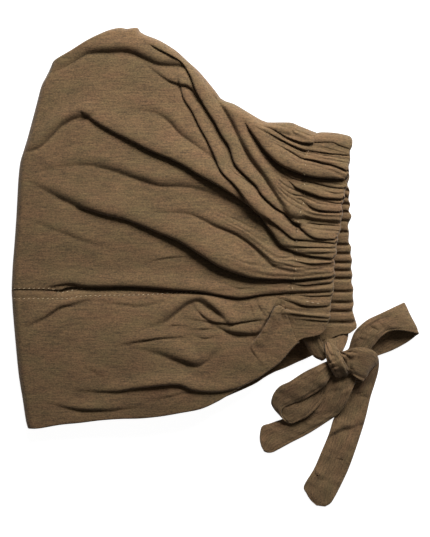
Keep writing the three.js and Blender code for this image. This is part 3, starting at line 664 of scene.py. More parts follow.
def jersey_material(name, colour_of_cloth, by_strip=False):
    """Heather jersey, its pattern laid over the cap or along a strip's own length."""
    made, tree, shader = new_material(name)
    where = tree.nodes.new("ShaderNodeTexCoord")
    cloth = tree.nodes.new("ShaderNodeGroup")
    cloth.node_tree = bpy.data.node_groups.get("heather_jersey") or jersey_group()
    cloth.inputs["Jersey"].default_value = (*colour_of_cloth, 1)
    tree.links.new(where.outputs["UV" if by_strip else "Object"], cloth.inputs["Place"])
    tree.links.new(cloth.outputs["Color"], shader.inputs["Base Color"])
    tree.links.new(cloth.outputs["Roughness"], shader.inputs["Roughness"])
    bump = tree.nodes.new("ShaderNodeBump")
    set_inputs(bump, BUMP)
    tree.links.new(cloth.outputs["Height"], bump.inputs["Height"])
    tree.links.new(bump.outputs[0], shader.inputs["Normal"])
    set_inputs(shader, JERSEY_SHINE)
    return made


def thread_material(name, colour_of_thread):
    made, tree, shader = new_material(name)
    where = tree.nodes.new("ShaderNodeTexCoord")
    twist = noise(tree, where.outputs["Object"], *TWIST)
    dark, light = (tuple(min(1, c * k) for c in colour_of_thread) for k in THREAD_TONES)
    tree.links.new(blend_colour(tree, "MIX", twist, dark, light), shader.inputs["Base Color"])
    shader.inputs["Roughness"].default_value = THREAD_ROUGHNESS
    return made


# --------------------------------------------------------------------------------------------
# The crown


def seam_pinch(x, y):
    """The two sewn rows at the seam, drawn in a little, and the strip between them."""
    upper = Line(UPPER_PINCH).dense
    lower = Line(LOWER_ROW).dense
    free = 1 - smooth((x - upper[-1, 0] + UPPER_FADE) / UPPER_FADE)
    up = y - np.interp(x, upper[:, 0], upper[:, 1])
    low = y - np.interp(x, lower[:, 0], lower[:, 1])
    pinch = -PINCH[0] * np.exp(-((up / ROW_WIDTH) ** 2)) * free
    pinch -= PINCH[1] * np.exp(-((low / ROW_WIDTH) ** 2)) * (x < lower[-1, 0] + 3)
    return pinch - STRIP_DEPTH * smooth(low / STRIP_BLEND) * smooth(-up / STRIP_BLEND)


def lie_shares(patch, u, v, settings, turn_top, inset):
    """Plan, height of the fold's middle and turn at the folds of a cloth inset in the patch."""
    middle = 0.5 * edge_height(u, settings)
    wide, tall = patch.width(v), patch.height(u)
    turn = turned(u * wide / middle)
    a, b = inset / wide, inset / tall if turn_top else 0
    if turn_top:
        turn = turn * turned((1 - v) * tall / middle)
    return patch.at(a + (1 - a) * u, v * (1 - b)), middle, turn


def folded(xy, z, middle, turn, u, dip):
    """Places of a cloth turned over at its folds, its last column dipped under the casing."""
    last = u > 1 - AT_END
    xy = xy + np.outer(last, (REACH_UNDER, 0))
    return np.column_stack([xy, middle + (z + dip * last - middle) * turn])


def near_face(patch, u, v, settings, creases, turn_top, inset=0):
    """Places of the near cloth: plan from the patch, height from the lie and the creases."""
    xy, middle, turn = lie_shares(patch, u, v, settings, turn_top, inset)
    x, y = xy.T
    lift, push = crease_lie(x, y, creases)
    share = (u - GATHERED_FROM) / (1 - GATHERED_FROM)
    lift += seam_pinch(x, y) + rumple(x, y) + gathers(x, y, share)
    z = upper_height(u, v, settings) + lift - INNER_DROP * inset
    if not inset:
        xy = xy + push * turn[:, None]
    return folded(xy, z, middle, turn, u, -DIP_UNDER)


def far_face(patch, u, v, settings, turn_top, inset=0):
    """Places of the far cloth, which lies on the floor."""
    xy, middle, turn = lie_shares(patch, u, v, settings, turn_top, inset)
    x, y = xy.T
    puckers = FAR_PUCKERS * (1 + np.sin(y / 2.1 + np.sin(x / 17))) * smooth((u - 0.7) / 0.3)
    waves = FAR_WAVES * (1 + np.sin(x / 19 + 2 * np.sin(y / 27)) * np.sin(y / 15))
    return folded(xy, FLOOR_GAP + inset + puckers + waves, middle, turn, u, DIP_UNDER)


def cloth_grid(bm, size, face):
    """Adds a grid laid where face(u, v) says, and gives the edges of its outer fold and top."""
    made, u, v = add_grid(bm, *size)
    place(made, face(u, v))
    on_fold = {vert for vert, a in zip(made, u) if a < AT_END}
    on_top = {vert for vert, b in zip(made, v) if b > 1 - AT_END}
    edges = {e for vert in on_fold | on_top for e in vert.link_edges}
    return [e for e in edges if set(e.verts) <= on_fold or set(e.verts) <= on_top]


# Columns and rows of the crown's near and far cloth, on the outer and on the inner face.
CROWN_GRIDS = (((286, 236), (70, 56)), ((90, 76), (44, 36)))
NEAR_POWERS, FAR_POWERS = (1.25, 1.12), (1.5, 1.3)  # powers that close the grids up at the folds


def closed_up(u, v, powers):
    """Shares that lie closer together at the outer fold and at the top fold."""
    return u ** powers[0], 1 - (1 - v) ** powers[1]


class BuildCrown(bpy.types.Operator):
    """Builds the gathered crown, near cloth, turned folds and far cloth in one"""

    bl_idname = "underscarf.crown"
    bl_label = "Crown"

    def execute(self, context):
        settings = context.scene.cap_settings
        near = Patch(CROWN_LEFT, [p for p in CASING_INNER if p[1] <= 293], CROWN_SEAM, CROWN_TOP)
        far = Patch(CROWN_LEFT, [p for p in FAR_INNER if p[1] <= 290], FAR_SEAM, CROWN_TOP)
        bm = bmesh.new()
        loops = []
        for inset, (near_size, far_size) in zip((0, settings.crown_cloth / MM), CROWN_GRIDS):
            before = set(bm.edges)
            rims = cloth_grid(bm, near_size, lambda u, v: near_face(
                near, *closed_up(u, v, NEAR_POWERS), settings, CAP_CREASES, True, inset))
            rims += cloth_grid(bm, far_size, lambda u, v: far_face(
                far, *closed_up(u, v, FAR_POWERS), settings, True, inset))
            bmesh.ops.bridge_loops(bm, edges=rims)
            loops += [e for e in set(bm.edges) - before if e.is_boundary]
        bmesh.ops.bridge_loops(bm, edges=loops)
        face_outwards(bm)
        piece = new_object("cap_crown", bm, jersey_material("crown_heather", settings.jersey))
        on_body(piece, "cap_jersey", "crown")
        return {"FINISHED"}


# --------------------------------------------------------------------------------------------
# The front band

BAND_COLUMNS = 560
# Rows of the band: on its inner face, then round its folded edge, then up the outer face.
BAND_INNER, BAND_FOLD, BAND_ROWS = 12, 18, 112
TUCK, FAR_TUCK = 2.1, 1.3  # how far its seam's edge lies under the crown, near and far, in mm
TUCK_FROM, FAR_TUCK_FROM, TUCK_BLEND = 0.93, 0.92, 0.05  # where this begins, in shares
BARE_TO, BARE_BLEND = 50, 12  # the seam's edge isn't tucked up to here on the grid
EDGE_DIP, EDGE_FROM = 0.25, 0.97  # the last of the edge dips once more
FINE, WIDE = 1e-3, 1e-2  # steps, in shares, over which directions are taken
BAND_LEAST = 0.15  # the band's least height over the floor, in mm


def unit(vectors):
    return vectors / np.maximum(np.linalg.norm(vectors, axis=1), 1e-12)[:, None]


def frames_on(face, u, v, steps=(FINE, FINE)):
    """Places, outward normals and directions along v of a surface given by its shares."""
    du = face(np.clip(u + steps[0], 0, 1), v) - face(np.clip(u - steps[0], 0, 1), v)
    dv = face(u, np.clip(v + steps[1], 0, 1)) - face(u, np.clip(v - steps[1], 0, 1))
    return face(u, v), unit(np.cross(dv, du)), unit(dv)


def half_turn(across, ahead, angle, radius):
    """Steps round an edge, from the outer side over the way ahead to the inner side."""
    return radius * (across * np.cos(angle)[:, None] + ahead * np.sin(angle)[:, None])


class BuildBand(bpy.types.Operator):
    """Builds the doubled front band, folded at the face edge, round both sides of the cap"""

    bl_idname = "underscarf.band"
    bl_label = "Front band"

    def execute(self, context):
        settings = context.scene.cap_settings
        side = [p for p in CASING_INNER if p[1] >= 289]
        near = Patch(BAND_LEFT, side + [(289, 289)], BAND_FRONT, BAND_TOP)
        far = Patch(BAND_LEFT, [(318, 341), (318, 320), (318, 290)], FAR_FRONT,
                    [(x, y - FAR_OVERLAP) for x, y in FAR_SEAM])
        cloth = settings.band_cloth / MM

        def surface(a, v, creases):
            """a runs from the near casing over the outer fold to the far casing."""
            u = np.abs(1 - 2 * a) ** NEAR_POWERS[0]
            upper = near_face(near, u, v, settings, creases, False)
            lower = far_face(far, u, v, settings, False)
            # The seam's edge is tucked under the crown.
            tuck = smooth((v - TUCK_FROM) / TUCK_BLEND)
            tuck *= smooth((upper[:, 0] - plan([(BARE_TO, 0)])[0, 0]) / BARE_BLEND)
            upper[:, 2] -= TUCK * tuck + EDGE_DIP * smooth((v - EDGE_FROM) / (1 - EDGE_FROM))
            lower[:, 2] += FAR_TUCK * smooth((v - FAR_TUCK_FROM) / TUCK_BLEND)
            return np.where((a < 0.5)[:, None], upper, lower)

        bm = bmesh.new()
        verts, a, b = add_grid(bm, BAND_COLUMNS, BAND_ROWS)
        inner, fold = BAND_INNER / BAND_ROWS, BAND_FOLD / BAND_ROWS
        outer = surface(a, np.clip((b - fold) / (1 - fold), 0, 1), BAND_CREASES + [SEAM_DIP])
        # The inner face and the folded edge leave out the small creases.
        inner_v = np.where(b < inner, np.clip(1 - b / inner, 0, 1), 0)
        p, n, ahead = frames_on(lambda s, t: surface(s, t, []), a, inner_v)
        angle = np.pi * (1 - np.clip((b - inner) / (fold - inner), 0, 1))
        edge = p - 0.5 * cloth * n + half_turn(n, -ahead, angle, 0.5 * cloth)
        points = np.where((b < fold)[:, None], edge, outer)
        points = np.where((b < inner)[:, None], p - cloth * n, points)
        points[:, 2] = np.maximum(points[:, 2], BAND_LEAST)
        place(verts, points)
        low = {vert for vert, t in zip(verts, b) if t < AT_END}
        high = {vert for vert, t in zip(verts, b) if t > 1 - AT_END}
        ends = [e for e in bm.edges if e.is_boundary]
        rims = [e for e in ends if set(e.verts) <= low or set(e.verts) <= high]
        bmesh.ops.bridge_loops(bm, edges=rims)
        bmesh.ops.holes_fill(bm, edges=[e for e in bm.edges if e.is_boundary], sides=0)
        face_outwards(bm)
        piece = new_object("cap_front_band", bm, jersey_material("band_heather", settings.jersey))
        on_body(piece, "band_jersey", "front_band")
        return {"FINISHED"}


# --------------------------------------------------------------------------------------------
# The nape casing

CASING_ROWS = 640  # up the near run and down the far one
# Columns of the casing: over its outer face, round its rim, back inside, and up to its edge.
CASING_OUTER, CASING_TURNED, CASING_INSIDE, CASING_COLUMNS = 32, 38, 51, 54
CASING_POWER = 1.2  # power that closes the rows up at the top fold
DEEPEST_PLEAT = 2.2  # pleats go no deeper than this, in mm
FAR_RELIEF, FAR_VALLEY, FAR_SINK = 1.9, 1.3, 1.1  # the far run's pleats: height, valley, drop
OUTER_RELIEF, INNER_RELIEF = 0.25, 0.45  # shares of them under the far run, inside the near one
BULGE, RIM_DROP = 0.5, 0.8  # the near run bulges this much, and drops this much at its rim, in mm
FAR_CASING_GAP = 0.8  # from the floor up to the far run, in mm
RUN_BLEND = 12  # how fast the pleats grow on either side of the top fold
RIM_CALM = 0.35  # share of the pleats that is gone at the rim


def far_pleats(y):
    """Small rounded pleats between the gather lines of the casing's far run."""
    lines = np.sort(plan([(0, t) for t in FAR_PLEATS])[:, 1])
    nearest = np.abs(y[:, None] - lines[None, :]).min(axis=1)
    return FAR_RELIEF * (1 - np.exp(-((nearest / FAR_VALLEY) ** 2))) - FAR_SINK


class BuildCasing(bpy.types.Operator):
    """Builds the gathered casing at the nape, a tunnel that turns over at the top fold"""

    bl_idname = "underscarf.casing"
    bl_label = "Nape casing"

    def execute(self, context):
        settings = context.scene.cap_settings
        tall = settings.casing_height / MM
        near = Patch(CASING_INNER, CASING_RIM, CASING_MOUTH, CASING_TOP)
        far = Patch(FAR_INNER, FAR_RIM, FAR_MOUTH, CASING_TOP)
        top = settings.casing_lift / MM
        middle = top / 2

        def plain(s, w):
            """The outer face without pleats: s up the near run and down the far one."""
            v = 1 - np.abs(1 - 2 * s)
            upper, lower = near.at(w, v), far.at(w, v)
            turn = turned((1 - v) * near.height(w) / middle)
            crest = top + BULGE * np.sin(np.pi * w) - RIM_DROP * w**2
            z_upper = middle + (crest - middle) * turn
            z_lower = middle - (middle - FAR_CASING_GAP) * turn
            xy = np.where((s < 0.5)[:, None], upper, lower)
            return np.column_stack([xy, np.where(s < 0.5, z_upper, z_lower)])

        bm = bmesh.new()
        verts, s, ring = add_grid(bm, CASING_ROWS, CASING_COLUMNS)
        s = 0.5 + 0.5 * np.sign(s - 0.5) * np.abs(2 * s - 1) ** CASING_POWER
        outer, rim, inner = (
            column / CASING_COLUMNS for column in (CASING_OUTER, CASING_TURNED, CASING_INSIDE))
        # The first column dips under the crown's edge and the second is close to it.
        first = 1 / CASING_COLUMNS
        face_shares = np.interp(ring, (0, first, 2 * first, outer), (0, 0, 0.004, 1))
        w = np.where(ring <= outer, face_shares, 1 - (ring - rim) / (inner - rim))
        w = np.clip(w, 0, 1)
        p, n, across = frames_on(plain, s, w, (FINE, WIDE))
        x, y = p[:, 0], p[:, 1]
        near_run = smooth((0.5 - s) * RUN_BLEND)
        far_run = smooth((s - 0.5) * RUN_BLEND)
        pleats, push = crease_lie(x, y, CAP_CREASES)
        pleats += rumple(x, y) + seam_pinch(x, y) + gathers(x, y, 1)
        relief = far_pleats(y)
        rim_turn = np.pi * np.clip((ring - outer) / (rim - outer), 0, 1)
        lift_out = near_run * np.maximum(pleats, -DEEPEST_PLEAT) * (1 - RIM_CALM * w**6)
        lift_out += far_run * OUTER_RELIEF * relief
        lift_in = INNER_RELIEF * near_run * relief + far_run * relief
        outside = p + lift_out[:, None] * n
        outside[:, :2] += push * near_run[:, None]
        outside -= CASING_DIP * (ring < first / 2)[:, None] * n
        edge = p - 0.5 * tall * n + half_turn(n, across, rim_turn, 0.5 * tall)
        edge += (lift_out * (0.5 + 0.5 * np.cos(rim_turn)))[:, None] * n
        edge -= (lift_in * (0.5 - 0.5 * np.cos(rim_turn)))[:, None] * n
        inside = p - tall * n - lift_in[:, None] * n
        points = np.where((ring >= rim)[:, None], inside, edge)
        points = np.where((ring <= outer)[:, None], outside, points)
        # The last columns rise again to the inner edge.
        closing = np.clip((ring - inner) / (1 - inner), 0, 1)
        points += (closing * (tall + lift_in + lift_out - CASING_DIP))[:, None] * n
        points[:, 2] = np.maximum(points[:, 2], LEAST_HEIGHT)
        place(verts, points)
        face_outwards(bm)
        piece = new_object("cap_nape_casing", bm, jersey_material("casing_heather", settings.jersey))
        thicken(piece, settings.casing_wall)
        on_body(piece, "casing_jersey", "nape_casing")
        return {"FINISHED"}


# --------------------------------------------------------------------------------------------
# The tie: flat tubes of jersey. Rows of left x, left y, right x, right y on the grid, then the
# height of the left and the right edge and the share of the tie's thickness.

STRAP = [
    (322, 361, 329, 356, 8.4, 8.6, 1.0),
    (314, 357, 325, 349, 10, 10.4, 1.1),
    (308, 349, 322, 341, 11.6, 11.8, 1.1),
    (303, 340, 319, 334, 13.2, 13.4, 1.0),
    (300, 325, 320, 322, 14.8, 14.8, 0.5),
    (300, 300, 322, 300, 15, 15, 0.5),
    (302, 270, 324, 270, 15, 15, 0.5),
    (303, 240, 326, 240, 15, 15, 0.5),
    (307, 210, 331, 211, 15, 15, 0.5),
    (310, 180, 336, 181, 15, 15, 0.5),
    (314, 156, 341, 158, 14.9, 14.9, 0.5),
    (318, 143, 344, 146, 13, 13, 0.5),
    (319, 139.5, 346, 142.5, 9.4, 9.4, 0.5),
    (319, 143, 344, 147, 5.6, 5.6, 0.5),
    (317, 156, 342, 158, 3.4, 3.4, 0.5),
    (316, 180, 341, 181, 3.1, 3.1, 0.5),
    (318, 220, 342, 220, 3.1, 3.1, 0.5),
    (321, 270, 344, 270, 3.1, 3.1, 0.5),
    (324, 310, 347, 309, 3.1, 3.1, 0.5),
    (326, 331, 349, 329, 3.4, 3.4, 0.8),
    (322, 340, 348.5, 338, 5.2, 4.6, 1.1),
    (323, 347, 346, 345.5, 7.0, 6.2, 1.4),
    (333, 352, 342, 353, 8.6, 8.2, 1.4),
]
KNOT = [
    (325, 343, 334, 345, 8.8, 8.4, 0.55),
    (324.5, 347, 338, 349, 11.6, 11, 0.85),
    (325, 353, 341, 354, 14, 13.2, 1),
    (326.5, 361, 344, 361, 14.8, 14.4, 1.05),
    (330, 368.5, 347.5, 367, 13.6, 13.4, 1),
    (334, 375, 350, 372, 10.2, 10, 0.8),
    (336, 377.5, 348.5, 375.5, 8, 8, 0.5),
]
LOOP_RIGHT = [
    (341, 352, 352, 361, 9, 9, 1.1),
    (348, 349, 368, 354, 10.6, 10.6, 1.1),
    (350.5, 341, 371.5, 348, 12.4, 11.8, 1.1),
    (354, 332, 376.5, 341.5, 14, 12, 1.1),
    (360, 325, 382.5, 335.5, 14.8, 11.4, 1.1),
    (368, 319, 389, 331.5, 14, 10.2, 1.1),
    (380, 313.5, 397, 330.3, 12.2, 9.4, 1.05),
    (392, 308, 407, 331.2, 9.6, 8.2, 1),
    (401, 304, 416, 333.2, 6.8, 6.4, 1),
    (404.3, 302.6, 419.6, 334.3, 4.4, 4.2, 1),
    (401.5, 304.8, 417, 336.3, 2.2, 2.2, 1),
    (392, 311, 408, 343, 1.7, 1.7, 1),
    (380, 319, 394, 350.5, 1.7, 1.7, 1),
    (369, 331, 382, 355, 3, 2.6, 1),
    (359, 343, 373, 358, 5.6, 5, 1),
    (346, 352, 356, 362, 8, 7.6, 1),
]
LOOP_LEFT = [
    (333, 360, 337, 371, 9, 8.6, 1.1),
    (325, 362, 331, 376, 10.4, 9.6, 1.1),
    (315, 366.5, 326, 384, 12.6, 11, 1.1),
    (303, 372.5, 318.5, 391, 12.4, 9.0, 1.1),
    (290, 381, 304, 399.5, 11.8, 8.4, 1.1),
    (280, 386, 291, 404.5, 10.6, 7.6, 1),
    (274, 393, 282, 410, 9.0, 7.0, 1),
    (271.3, 401, 283, 418, 7, 6, 1),
    (272.5, 405, 290, 424, 4.9, 4.6, 1),
    (280, 403, 298, 422, 6.4, 5.0, 1),
    (292, 394, 310, 415.5, 7.0, 5.4, 1),
    (304, 384, 322, 402, 7.0, 5.8, 1),
    (316, 374, 326, 388, 6.2, 6, 1),
    (328, 364, 334, 377, 7.6, 7.2, 1),
]
TAIL_LEFT = [
    (334, 365, 344, 362, 8.6, 8.6, 1),
    (333, 373, 355, 370.5, 7, 7.6, 1.1),
    (325, 381, 356, 380, 6.4, 8.0, 1.15),
    (320, 391, 352, 391, 4.8, 8.8, 1.1),
    (315, 401, 347, 403, 3.6, 7, 1.05),
    (311, 409.5, 339.5, 414, 3, 4.4, 1),
    (298, 415, 325, 424.5, 1.8, 2.6, 1),
    (284, 419.5, 308.5, 435, 1.6, 1.7, 1),
    (271, 424, 292, 443.5, 1.6, 1.6, 1),
    (262.5, 427, 280, 450, 1.6, 1.6, 1),
    (260.3, 434, 273.5, 453.3, 1.6, 1.6, 0.95),
    (260, 441, 268.5, 454, 1.5, 1.5, 0.85),
    (261.5, 447.5, 264.5, 452.8, 1.4, 1.4, 0.6),
]
TAIL_RIGHT = [
    (336, 356, 342, 369, 10, 9.4, 1.1),
    (342, 352.5, 347, 371, 12.2, 11, 1.1),
    (354, 347.5, 353.5, 375.5, 14.2, 12.4, 1.15),
    (366, 347.8, 359, 379.5, 13.6, 11, 1.15),
    (375, 352, 362.5, 381, 11, 9.4, 1.1),
    (378.5, 358.5, 361, 382.5, 8.6, 8, 1),
    (379.5, 366, 352, 381, 6.2, 5.4, 1),
    (378.5, 374, 346, 386, 4.6, 3.6, 1),
    (375.5, 385, 343, 394, 2.8, 2.4, 1),
    (371.5, 398, 341.5, 404, 1.8, 1.8, 1),
    (366.5, 419, 334.5, 419, 1.7, 1.7, 1),
    (361, 437, 329, 436, 1.7, 1.7, 1),
    (355, 455, 321.5, 454, 1.7, 1.7, 1),
    (349, 471, 314.5, 470, 1.7, 1.7, 1),
    (341.5, 487, 304.5, 487, 1.7, 1.7, 1),
    (336, 497.5, 307, 495, 1.7, 1.7, 1),
    (331.5, 504.5, 311.5, 502, 1.6, 1.6, 0.9),
    (326, 508, 317, 507, 1.5, 1.5, 0.7),
]


SEWN_GROOVE, SEWN_AT, SEWN_WIDTH = 0.3, 0.8, 0.07  # depth in mm, then shares of half the width
PARTS, AROUND = 12, 44  # columns from one row to the next, and faces round the tube
EDGE_ROUND, FACE_ROUND = 0.55, 0.75  # powers of the tube's section, below 1 for a flatter tube


def ribbon(name, rows, material, thickness, wrinkles, creases_to):
    """A flat tube of cloth through rows of its two edges. wrinkles: shares of its length and how
    deep it is pleated there. creases_to: share of its length whose upper side has creases."""
    table = rounded(rows, PARTS)
    left = np.column_stack([plan(table[:, 0:2]), table[:, 4]])
    right = np.column_stack([plan(table[:, 2:4]), table[:, 5]])
    middle, half = (left + right) / 2, (right - left) / 2
    run = np.gradient(middle, axis=0)
    up = unit(np.cross(half, run))
    length = np.concatenate([[0], np.cumsum(np.linalg.norm(np.diff(middle, axis=0), axis=1))])
    bm = bmesh.new()
    verts, a, ring = add_grid(bm, len(table) - 1, AROUND)
    k = np.rint(a * (len(table) - 1)).astype(int)
    angle = 2 * np.pi * ring
    across = np.sign(np.cos(angle)) * np.abs(np.cos(angle)) ** EDGE_ROUND
    through = np.sign(np.sin(angle)) * np.abs(np.sin(angle)) ** FACE_ROUND
    wide = np.linalg.norm(half[k], axis=1)
    thick = thickness / MM / 2 * table[k, 6]
    # Pleats along the strip where it is drawn together, and a slight rise and fall elsewhere.
    depth = np.interp(a, *zip(*wrinkles))
    phase = length[k] / 9 + len(rows)
    ripple = 1.3 - 2 * np.abs(np.sin(across * 3.3 + 0.5 * np.sin(phase))) ** 0.6
    ripple += 0.8 - 1.3 * np.abs(np.sin(across * 7.1 - 0.6 * np.sin(phase * 1.7 + 1))) ** 0.7
    soft = 0.2 * np.sin(length[k] / 6.3 + 2.2 * across) + 0.16 * np.sin(length[k] / 2.9 - 3 * across)
    soft += 0.14 * np.sin(length[k] / 1.7 + 4 * across + np.sin(length[k] / 4))
    face_share = np.abs(through) ** 0.5
    lift = (-depth * ripple * np.sign(through) + soft * np.minimum(wide / 6, 1)) * face_share
    # The sewn edge: a shallow groove beside one edge.
    groove = SEWN_GROOVE * np.exp(-(((across - SEWN_AT) / SEWN_WIDTH) ** 2))
    lift -= groove * np.sign(through) * face_share
    points = middle[k] + half[k] * across[:, None] + up[k] * (through * thick + lift)[:, None]
    top = np.clip(up[k][:, 2] * np.sign(through), 0, 1) * face_share
    fold, push = crease_lie(points[:, 0], points[:, 1], TIE_CREASES)
    on_top = top * (length[k] < creases_to * length[-1])
    points[:, 2] += fold * on_top
    points[:, :2] += push * on_top[:, None]
    points[:, 2] = np.maximum(points[:, 2], LEAST_HEIGHT)
    place(verts, points)
    cloth = bm.loops.layers.uv.new("cloth")
    shares = {v: (length[i] * MM, w * h * MM) for v, i, w, h in zip(verts, k, across, wide)}
    for face in bm.faces:
        for loop in face.loops:
            loop[cloth].uv = shares[loop.vert]
    bmesh.ops.remove_doubles(bm, verts=bm.verts, dist=DOUBLES / 2)
    bmesh.ops.holes_fill(bm, edges=[e for e in bm.edges if e.is_boundary], sides=0)
    bmesh.ops.recalc_face_normals(bm, faces=bm.faces)
    return new_object(name, bm, material)


TIE_CREASES = [
    # path, rise, sharp, over, under, dip, as in the cap's creases
    ([(378, 322), (374, 328), (370, 335)], (0.6, 1.2, 0.4), 0.7, 2.5, 2.5, 1.1),
    ([(361, 331), (368, 325), (380, 319), (396, 312)], (0.1, 0.3, 0.1), 0.6, 2, 2, 0.4),
    ([(355, 341), (362, 337), (372, 333)], (0.2, 0.6, 0.2), 0.6, 2, 2, 0.6),
    ([(343, 353), (352, 357), (362, 357)], (1.0, 0.8, 0.1), 0.5, 2, 2, 1.0),
    ([(344, 359), (350, 366), (356, 373)], (0.8, 0.7, 0.1), 0.5, 2, 2, 0.9),
    ([(343, 351), (355, 351.5), (368, 353)], (0.4, 0.5, 0.1), 0.5, 2, 2, 0.6),
    ([(331, 342), (333, 350), (338, 358)], (1, 1.2, 0.4), 0.4, 1.8, 1.6, 1.5),
    ([(327, 345), (330, 353), (335, 361)], (1, 1.2, 0.4), 0.4, 1.8, 1.6, 1.5),
    ([(329, 360), (333, 368), (340, 374)], (0.2, 0.8, 0.4), 0.5, 1.6, 1.6, 1.0),
    ([(327, 357), (333, 365), (343, 372)], (0.3, 0.6, 0.3), 0.5, 1.6, 1.6, 0.8),
    ([(332, 362), (322, 367), (308, 377)], (1, 0.8, 0.1), 0.6, 2.5, 2, 0.9),
    ([(331, 369), (323, 375), (312, 384)], (0.8, 0.6, 0.1), 0.6, 2, 2, 0.8),
    ([(345, 376), (347, 388), (343, 402), (334, 412)], (0.6, 0.7, 0.3), 1.2, 3, 3, 0.7),
    ([(334, 378), (336, 390), (330, 404)], (0.7, 0.6, 0.2), 0.8, 3, 3, 0.8),
    ([(313, 413), (309, 424), (306, 434)], (0.2, 0.5, 0.2), 0.8, 2, 2, 0.5),
    ([(315, 470), (317, 475), (320, 480)], (0.3, 1.2, 0.3), 0.5, 2, 2, 1.0),
    ([(338, 457), (342, 460), (345, 463)], (0.2, 0.6, 0.2), 0.5, 2, 2, 0.5),
    ([(322, 455), (333, 462), (345, 468)], (0.1, 0.4, 0.1), 1.5, 4, 4, 0.3),
    ([(328, 440), (342, 431), (358, 427)], (0.4, 1.5, 0.5), 1.8, 6, 7, 1.0),
    ([(352, 384), (358, 394), (371, 399)], (0.3, 1.0, 0.3), 1.6, 5, 5, 0.7),
]
TIE_PIECES = [
    # name, node, rows, length in metres, held, what it rests on, wrinkles, share with creases
    ("cap_tie_strap", "tie_strap", STRAP, 0.35, "gathered", "cap_nape_casing",
     [(0, 0.5), (0.1, 0.35), (0.2, 0), (0.84, 0), (0.92, 0.6), (1, 0.8)], 0),
    ("cap_knot", "bow_knot", KNOT, 0.025, "gathered", "cap_knot",
     [(0, 0.9), (0.3, 0.7), (0.7, 0.5), (1, 0.6)], 1),
    ("cap_loop_right", "bow_loop_right", LOOP_RIGHT, 0.12, "folded", "cap_knot",
     [(0, 0.6), (0.2, 0.3), (0.4, 0.05), (0.8, 0.05), (1, 0.5)], 0.55),
    ("cap_loop_left", "bow_loop_left", LOOP_LEFT, 0.11, "folded", "cap_knot",
     [(0, 0.6), (0.2, 0.3), (0.4, 0.08), (0.8, 0.05), (1, 0.5)], 0.5),
    ("cap_tail_left", "tie_tail_left", TAIL_LEFT, 0.1, "laid", "floor",
     [(0, 0.6), (0.3, 0.4), (0.6, 0.08), (1, 0)], 1),
    ("cap_tail_right", "tie_tail_right", TAIL_RIGHT, 0.16, "laid", "floor",
     [(0, 0.6), (0.15, 0.4), (0.3, 0.1), (1, 0)], 1),
]


class BuildTie(bpy.types.Operator):
    """Builds the tie: its run through the casing, the knot, two loops and two tails"""

    bl_idname = "underscarf.tie"
    bl_label = "Tie and bow"

    def execute(self, context):
        settings = context.scene.tie_settings
        jersey = jersey_material("tie_heather", settings.jersey, by_strip=True)
        for name, node, rows, length, held, bed, wrinkles, creases_to in TIE_PIECES:
            thick = settings.knot_cloth if rows is KNOT else settings.cloth
            piece = ribbon(name, rows, jersey, thick, wrinkles, creases_to)
            on_body(piece, "tie_jersey", node)
        return {"FINISHED"}


# --------------------------------------------------------------------------------------------
# The stitches


STITCH_LIFT = 0.00012  # from the cloth up to the middle of the thread, in metres
SLANT, CASING_SLANT, SHORT_SLANT = 0.35, 0.3, 0.1  # turns of the stitches out of their rows
SPARSE = 1.9  # how much farther apart the stitches beside the casing are
ON_CROWN, ON_BAND, ON_CASING = 1.2, 0.6, 2  # grid steps from a seam to the stitches beside it
SHORT_ROW = [(304, 301), (312, 302.5), (320, 303.5)]


def sewn_row(bm, cloth, path, settings, slant, spread=1.0):
    """One row of stitches along a line in plan, laid on the cloth below it."""
    line = Line(path)
    count = int(line.length * MM / (settings.pitch * spread))
    shares = (np.arange(count) + 0.5) / count
    for (x, y), (ax, ay) in zip(line.at(shares) * MM, line.at(shares + 0.004) * MM):
        hit, normal, _, _ = cloth.ray_cast(Vector((x, y, 0.1)), Vector((0, 0, -1)))
        if hit is None:
            continue
        way = math.atan2(ay - y, ax - x) + slant
        size = Matrix.Diagonal((settings.length / 2, settings.width / 2, settings.width / 2.4, 1))
        where = Matrix.Translation(hit + normal * STITCH_LIFT)
        tilt = normal.rotation_difference(Vector((0, 0, 1))).inverted().to_matrix().to_4x4()
        turn = Euler((0, 0, way)).to_matrix().to_4x4()
        lie = where @ tilt @ turn @ size
        bmesh.ops.create_uvsphere(bm, u_segments=6, v_segments=4, radius=1, matrix=lie)


class BuildStitches(bpy.types.Operator):
    """Sews the two rows along the seam and the row beside the casing"""

    bl_idname = "underscarf.stitches"
    bl_label = "Stitches"

    def execute(self, context):
        settings = context.scene.stitch_settings
        graph = context.evaluated_depsgraph_get()
        crown, band, casing = (
            BVHTree.FromObject(bpy.data.objects[name], graph)
            for name in ("cap_crown", "cap_front_band", "cap_nape_casing")
        )
        thread = thread_material("sewing_thread", settings.thread)
        bm = bmesh.new()
        sewn_row(bm, crown, [(x, y - ON_CROWN) for x, y in UPPER_ROW[:4]], settings, SLANT)
        sewn_row(bm, band, [(x, y + ON_BAND) for x, y in UPPER_ROW[3:]], settings, SLANT)
        sewn_row(bm, band, LOWER_ROW, settings, SLANT)
        piece = new_object("cap_seam_stitches", bm, thread)
        on_body(piece, "band_jersey")
        bm = bmesh.new()
        sewn_row(bm, casing, SHORT_ROW, settings, SHORT_SLANT)
        beside = [(x + ON_CASING, y) for x, y in CASING_INNER[3:-1]]
        sewn_row(bm, casing, beside, settings, CASING_SLANT, SPARSE)
        piece = new_object("cap_casing_stitches", bm, thread)
        on_body(piece, "casing_jersey")
        return {"FINISHED"}


# --------------------------------------------------------------------------------------------
# The stage


FLOOR_HALF = 3  # half the floor's side, in metres
KEY_SIZE, KEY_PLACE = (0.95, 0.5), (0.36, 1.0, 0.66)  # the main light, in metres
PICTURE_CENTRE = (215, 268.5)  # on the drawing grid
SCALE_HEIGHT = 0.01  # height over the floor at which the view height holds, in metres


